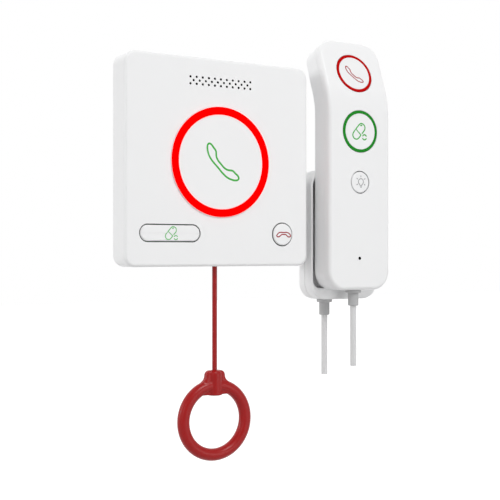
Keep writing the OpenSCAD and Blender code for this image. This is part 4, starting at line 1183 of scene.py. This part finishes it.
@dataclass
class Handset:
    """The call handset; drawn upright and bent back near its top. Sizes in millimetres."""

    x: float = HANDSET_X
    width: float = 45.8
    bottom: float = -75.0
    back: float = 14.2
    front: float = 30.0
    seam: float = 25.2
    seam_gap: float = 0.15
    hollow_past_seam: float = 0.6
    wall: float = 2.0
    corner: float = 11.5
    front_r: float = 2.3
    back_r: float = 0.6
    least_front_r: float = 0.5
    least_back_r: float = 0.3
    broken_edge: float = 0.12
    bend_z: float = 32.5
    bend_r: float = 38.0
    lean: float = 20.0
    upper: float = 31.4
    developed: float = 16.0
    bend_steps: int = 16
    key_hole_r: float = 13.05
    ring_r: float = 12.8
    disc_r: float = 11.05
    disc_dish: float = 0.12
    disc_rim: float = 1.0
    disc_edge: float = 0.25
    disc_wall: float = 1.6
    ring_edges: Point2 = (0.25, 0.15)
    flange_gap: float = 0.5
    flange_w: float = 0.8
    flange_t: float = 1.0
    call_up: float = 8.7
    medication_z: float = 22.4
    light_z: float = -8.8
    light_r: float = 6.5
    light_gap: float = 0.55
    light_top: float = 30.14
    light_edge: float = 0.7
    microphone_z: float = -55.5
    microphone_r: float = 1.0
    microphone_x: float = 89.8
    key_raise: float = 0.2
    foot_width: float = 36.0
    foot_height: float = 50.0
    foot_back: float = 8.6
    foot_bottom: float = -73.7
    foot_corner: float = 4.0
    foot_r: float = 0.6
    post_x: float = 18.5
    post_z: tuple[float, float, float] = (5.0, -62.0, 59.2)
    screw_r: float = 1.1
    screw_head_r: float = 1.9
    screw_head_t: float = 1.0
    well_r: float = 2.7
    well_past: float = 0.05
    cable_out: float = 22.8
    cable_hole_r: float = 2.7
    keeper_size: Point2 = (26.2, 42.2)
    keeper_t: float = 1.2
    keeper_corner: float = 3.1

    def hinge(self) -> Vector:
        """Returns a point on the axis that the handset bends about, in metres."""
        return Vector((0.0, (self.bend_r - self.back) * MM, self.bend_z * MM))

    def leant(self) -> Matrix:
        """Returns the motion that leans back what is drawn upright above the bend."""
        return (Matrix.Translation(self.hinge()) @ Matrix.Rotation(math.radians(-self.lean), 4, "X")
                @ Matrix.Translation(-self.hinge()))

    def bend(self, co: Vector) -> Vector:
        """Bends one point of the upright form.

        Args:
            co: The point, with the bend drawn as a straight stretch of the developed length.

        Returns:
            The point on the bent form.
        """
        start, hinge = self.bend_z * MM, self.hinge()
        past = co.z - start
        if past <= 0.0:
            return co
        share = min(past / (self.developed * MM), 1.0)
        rise = max(past - self.developed * MM, 0.0)
        turned_co = (Matrix.Rotation(math.radians(-self.lean) * share, 3, "X")
                     @ Vector((0.0, co.y - hinge.y, rise)))
        return Vector((co.x, turned_co.y + hinge.y, turned_co.z + start))

    def upright(self, inset: float) -> bmesh.types.BMesh:
        """Builds the upright form, cut across where it will bend.

        Args:
            inset: How far all its faces lie inside the outer form.

        Returns:
            The closed form.
        """
        top = self.bend_z + self.developed + self.upper - inset
        low = self.bottom + inset
        bm = slab(self.width - 2 * inset, top - low, self.back + inset, self.front - inset,
                  (self.x, (top + low) / 2), corner=self.corner - inset, corner_steps=18,
                  front_r=max(self.front_r - inset, self.least_front_r),
                  back_r=max(self.back_r - inset, self.least_back_r), edge_steps=8)
        self.slice_bend(bm)
        return bm

    def slice_bend(self, bm: bmesh.types.BMesh) -> None:
        """Cuts an upright form across at every step of the bend, without parting it.

        Args:
            bm: The form.
        """
        for i in range(self.bend_steps + 1):
            level = self.bend_z + self.developed * i / self.bend_steps
            bmesh.ops.bisect_plane(bm, geom=list(bm.verts) + list(bm.edges) + list(bm.faces),
                                   plane_co=at(self.x, self.back, level), plane_no=(0, 0, 1))

    def shell(self, name: str, keep_front: bool) -> bpy.types.Object:
        """Builds one of the two shells, hollow and bent.

        Args:
            name: Name of the piece.
            keep_front: True for the front shell, False for the back one.

        Returns:
            The shell, without its holes.
        """
        parts = []
        for inset in (0.0, self.wall):
            bm = self.upright(inset)
            level = self.seam if keep_front else self.seam - self.seam_gap
            if inset:
                level -= self.hollow_past_seam if keep_front else -self.hollow_past_seam
            bmesh.ops.bisect_plane(bm, geom=list(bm.verts) + list(bm.edges) + list(bm.faces),
                                   plane_co=at(self.x, level, 0.0), plane_no=(0, 1, 0),
                                   clear_outer=keep_front, clear_inner=not keep_front)
            rim = [e for e in bm.edges if e.is_boundary]
            bmesh.ops.holes_fill(bm, edges=rim, sides=0)
            self.slice_bend(bm)
            for vert in bm.verts:
                vert.co = self.bend(vert.co)
            bmesh.ops.recalc_face_normals(bm, faces=bm.faces)
            parts.append(loose("tool" if inset else name, bm))
        cut(parts[0], parts[1:])
        return parts[0]

    def build(self) -> None:
        """Builds the shells, the foot, the buttons and their signs."""
        front = self.shell("handset_front", True)
        depth = (self.front - self.wall - 1.5 * PAST, self.front + 2 * PAST)
        call_hole = plug(self.key_hole_r, (self.x, self.bend_z + self.call_up), *depth, steps=96)
        call_hole.data.transform(self.leant())
        cut(front, [call_hole, plug(self.key_hole_r, (self.x, self.medication_z), *depth, steps=96),
                    plug(self.light_r + self.light_gap, (self.x, self.light_z), *depth), self.relief_tool()])
        soften(front, self.broken_edge, angle=60.0)
        front.data.materials.append(WHITE.material())
        # painted shade: the microphone hole's wall is coloured near black for the shade inside it
        cut(front, [plugs(self.microphone_r, [(self.microphone_x, self.microphone_z)], *depth)], PAINTED_HOLE_SHADE)
        finish_piece(front, WHITE, Body.HANDSET, ["handset_front_shell"])
        back = self.shell("handset_back", False)
        foot_centre = (self.x, self.foot_bottom + self.foot_height / 2)
        foot = loose("tool", slab(self.foot_width, self.foot_height, self.foot_back, self.back + PAST,
                                  foot_centre, corner=self.foot_corner, corner_steps=8, back_r=self.foot_r,
                                  edge_steps=3))
        unite(back, [foot])
        recess = loose("tool", slab(*self.keeper_size, self.foot_back - PAST, self.foot_back + self.keeper_t,
                                    foot_centre, corner=self.keeper_corner))
        cut(back, [self.relief_tool(), recess])
        soften(back, self.broken_edge, angle=60.0)
        cut(back, self.screw_tools())
        finish_piece(back, WHITE, Body.HANDSET, ["handset_back_shell"])
        self.buttons()
        self.signs()

    def screw_tools(self) -> list[bpy.types.Object]:
        """Makes the tools for the wells and holes of the five screws in the back.

        Returns:
            The tools.
        """
        upper, lower = ([(self.x + side * self.post_x, z) for side in (-1, 1)] for z in self.post_z[:2])
        start = self.foot_back - PAST
        tools = [plugs(self.well_r, lower, start, self.back + self.well_past, 40)]
        for radius, end in ((self.screw_head_r, self.back + self.screw_head_t),
                            (self.screw_r, self.back + self.wall + PAST)):
            tools.append(plugs(radius, lower + upper, start, end, 32))
            top = plugs(radius, [(self.x, self.post_z[2])], self.back - 5 * PAST, end, 32)
            top.data.transform(self.leant())
            tools.append(top)
        return tools

    def relief_tool(self) -> bpy.types.Object:
        """Returns the tool for the strain relief's hole in the bottom."""
        return bore(self.cable_hole_r, (self.x, self.cable_out, self.bottom))

    def flange_front(self) -> float:
        """Returns how far out the front of the buttons' flanges lies, behind the shell."""
        return self.front - self.wall - self.flange_gap

    def ringed_key(self, name: str, z: float, ring_finish: Finish, body: Body, nodes: tuple[str, str],
                   lean: bool) -> None:
        """Builds a round button with its light ring.

        Args:
            name: Start of the pieces' names.
            z: Height of its middle on the upright form.
            ring_finish: Finish of the ring.
            body: The body that it rides on.
            nodes: CAD nodes of the disc and of the ring.
            lean: True above the bend.
        """
        top, low = self.front + self.key_raise, self.flange_front()
        flange_r, flange_low = self.key_hole_r + self.flange_w, low - self.flange_t
        inner, under = self.disc_r - self.disc_wall, top - self.disc_wall
        disc = turned([(0.0, top - self.disc_dish), (self.disc_r - self.disc_rim, top - self.disc_dish),
                       *rounded((self.disc_r, top), self.disc_edge, 90, 0, 3), (self.disc_r, low),
                       (flange_r, low), (flange_r, flange_low), (inner, flange_low), (inner, under),
                       (0.0, under)], (self.x, z), 112)
        ring = turned([(self.disc_r, low), (self.ring_r, low),
                       *rounded((self.ring_r, top), self.ring_edges[0], 0, 90, 3),
                       *rounded((self.disc_r, top), self.ring_edges[1], 90, 180, 3)], (self.x, z), 112)
        for bm, part, finish, node in ((disc, "disc", WHITE_KEY, nodes[0]),
                                       (ring, "ring", ring_finish, nodes[1])):
            if lean:
                bmesh.ops.transform(bm, matrix=self.leant(), verts=bm.verts)
            finish_piece(loose(f"{name}_{part}", bm), finish, body, [node])

    def buttons(self) -> None:
        """Builds the three buttons."""
        self.ringed_key("handset_call", self.bend_z + self.call_up, RING_RED, Body.HANDSET_CALL,
                        ("handset_call_button", "handset_call_ring"), True)
        self.ringed_key("handset_medication", self.medication_z, RING_GREEN, Body.HANDSET_MEDICATION,
                        ("handset_medication_button", "handset_medication_ring"), False)
        low = self.flange_front()
        cap = turned([(0.0, low), (self.light_r, low),
                      *rounded((self.light_r, self.light_top), self.light_edge, 0, 82, 6),
                      (0.0, self.light_top)], (self.x, self.light_z), 80)
        finish_piece(loose("handset_light_key", cap), WHITE_KEY, Body.HANDSET_LIGHT, ["handset_light_button"])

    def signs(self) -> None:
        """Prints the signs on the three buttons."""
        top = self.front + self.key_raise - self.disc_dish
        call = PHONE_FINE.build("handset_call_sign", (self.x + 0.1, self.bend_z + self.call_up - 0.5), top,
                                scale=0.522, turn=-42)
        call.data.transform(self.leant())
        finish_piece(call, SIGN_RED, Body.HANDSET_CALL)
        finish_piece(capsule_sign(0.8).build("handset_medication_sign", (self.x, self.medication_z), top),
                     SIGN_GREEN, Body.HANDSET_MEDICATION)
        finish_piece(LAMP_SIGN.build("handset_light_sign", (self.x + 0.5, self.light_z + 0.35), self.light_top),
                     SIGN_GREY, Body.HANDSET_LIGHT)


# What stays as the CAD made it

@dataclass
class Insides:
    """The CAD nodes that keep their shape, each with the finish of its slot."""

    def build(self) -> None:
        """Gives every CAD node that still shows, or may show at a pose, its finish."""
        slots = {part["node"]: part["material_slot"] for part in frame["record"]["subparts"]}
        for name, node in sorted(frame["nodes"].items()):
            finish = SLOT_FINISH[slots[name]]
            node.data.materials.clear()
            node.data.materials.append(finish.material())
            LOG.info("%s keeps its CAD shape in %s", name, finish.name)


# Camera, lights and floor

@dataclass
class Studio:
    """White studio with soft light; places in metres."""

    camera_at: Point3 = (-0.2658, -0.5099, -0.0516)
    looks_along: Point3 = (0.5009, 0.8655, 0.002)
    lens: float = 69.59
    sensor: float = 36.0
    floor_z: float = -0.42
    floor_shade: float = 0.5
    floor_lift: float = 0.7
    sky_level: float = 0.82
    sky_slope: Point3 = (0.0, 0.68, -0.08)
    lamps_aim: Point3 = (0.03, 0.0, -0.03)
    lamps: tuple[tuple[str, Point3, float, float], ...] = (
        ("key", (0.1, -1.4, 1.4), 0.6, 17.0), ("fill", (0.9, -1.8, 0.1), 1.0, 7.5),
        ("side", (-1.3, -1.0, 0.3), 0.6, 2.2), ("rim", (-1.6, 0.5, 0.3), 0.6, 5.2))

    def camera(self) -> None:
        """Sets the camera where the photograph was taken from."""
        data = bpy.data.cameras.new("camera")
        data.lens, data.sensor_width = self.lens, self.sensor
        data.clip_start = 0.01
        obj = placed("camera", data)
        obj.location = self.camera_at
        obj.rotation_euler = Vector(self.looks_along).to_track_quat("-Z", "Y").to_euler()
        bpy.context.scene.camera = obj

    def lamp(self, name: str, place: Point3, size: float, power: float) -> None:
        """Adds a soft square lamp that faces the set.

        Args:
            name: Name of the lamp.
            place: Where it stands.
            size: Width of its square.
            power: Its power in watts.
        """
        data = bpy.data.lights.new(name, "AREA")
        data.size, data.energy = size, power
        obj = placed(name, data)
        obj.location = place
        obj.rotation_euler = (Vector(self.lamps_aim) - Vector(place)).to_track_quat("-Z", "Y").to_euler()

    def world(self) -> None:
        """Lights everything softly, a little brighter from behind, and shows white behind it."""
        world = bpy.data.worlds.new("studio")
        bpy.context.scene.world = world
        world.use_nodes = True
        tree = world.node_tree
        where = add_node(tree, "TexCoord", {}).outputs["Generated"]
        slope = add_node(tree, "VectorMath", {0: where, 1: self.sky_slope}, "DOT_PRODUCT")
        level = add_node(tree, "Math", {0: slope.outputs["Value"], 1: self.sky_level}, "ADD")
        ambient = tree.nodes["Background"]
        feed(tree, ambient, {"Color": PURE_WHITE, "Strength": level.outputs[0]})
        plain = add_node(tree, "Background", {"Color": PURE_WHITE, "Strength": 1.0})
        mix = add_node(tree, "MixShader", {0: self.seen_directly(tree), 1: ambient.outputs[0],
                                           2: plain.outputs[0]})
        feed(tree, tree.nodes["World Output"], {"Surface": mix.outputs[0]})

    @staticmethod
    def seen_directly(tree: bpy.types.NodeTree) -> bpy.types.NodeSocket:
        """Picks out the rays that show a background: camera, glossy and transmission.

        Args:
            tree: The tree that asks.

        Returns:
            A socket that is 1 for those rays.
        """
        rays = add_node(tree, "LightPath", {}).outputs
        seen = rays["Is Camera Ray"]
        for label in ("Is Glossy Ray", "Is Transmission Ray"):
            seen = add_node(tree, "Math", {0: seen, 1: rays[label]}, "MAXIMUM").outputs[0]
        return seen

    def floor(self) -> None:
        """Lays a white floor well below the set, which keeps its shadow."""
        bm = bmesh.new()
        bmesh.ops.create_grid(bm, x_segments=1, y_segments=1, size=6.0)
        bmesh.ops.translate(bm, vec=(0.0, 0.0, self.floor_z), verts=bm.verts)
        floor = loose("floor", bm)
        paper = bpy.data.materials.new("floor_paper")
        paper.use_nodes = True
        tree = paper.node_tree
        lift = add_node(tree, "Math", {0: self.seen_directly(tree), 1: self.floor_lift}, "MULTIPLY")
        feed(tree, tree.nodes["Principled BSDF"], {
            "Base Color": (*[self.floor_shade] * 3, 1.0), "Roughness": 0.9,
            "Emission Color": PURE_WHITE, "Emission Strength": lift.outputs[0]})
        floor.data.materials.append(paper)

    def build(self) -> None:
        """Builds the lights, the world and the floor."""
        self.world()
        self.floor()
        for lamp in self.lamps:
            self.lamp(*lamp)
        bpy.context.scene.view_settings.view_transform = "Standard"


def main() -> None:
    """Builds the set in order."""
    logging.basicConfig(level=logging.INFO, format="%(name)s: %(message)s")
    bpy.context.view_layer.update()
    studio = Studio()
    studio.camera()
    PullCord().build()
    handset, cradle = Handset(), Cradle()
    Cable("handset", Body.HANDSET, x=handset.x, out=handset.cable_out, top=handset.bottom, end=-122.2,
          relief_node="handset_strain_relief", cord_node="handset_cord").build()
    Cable("cradle", Body.BASE, x=78.9, out=7.5, top=cradle.bottom, end=-128.2,
          relief_node="cradle_strain_relief", cord_node="cradle_cord").build()
    Insides().build()
    WallPanel().build()
    cradle.build()
    handset.build()
    studio.build()


if __name__ == "__main__":
    main()
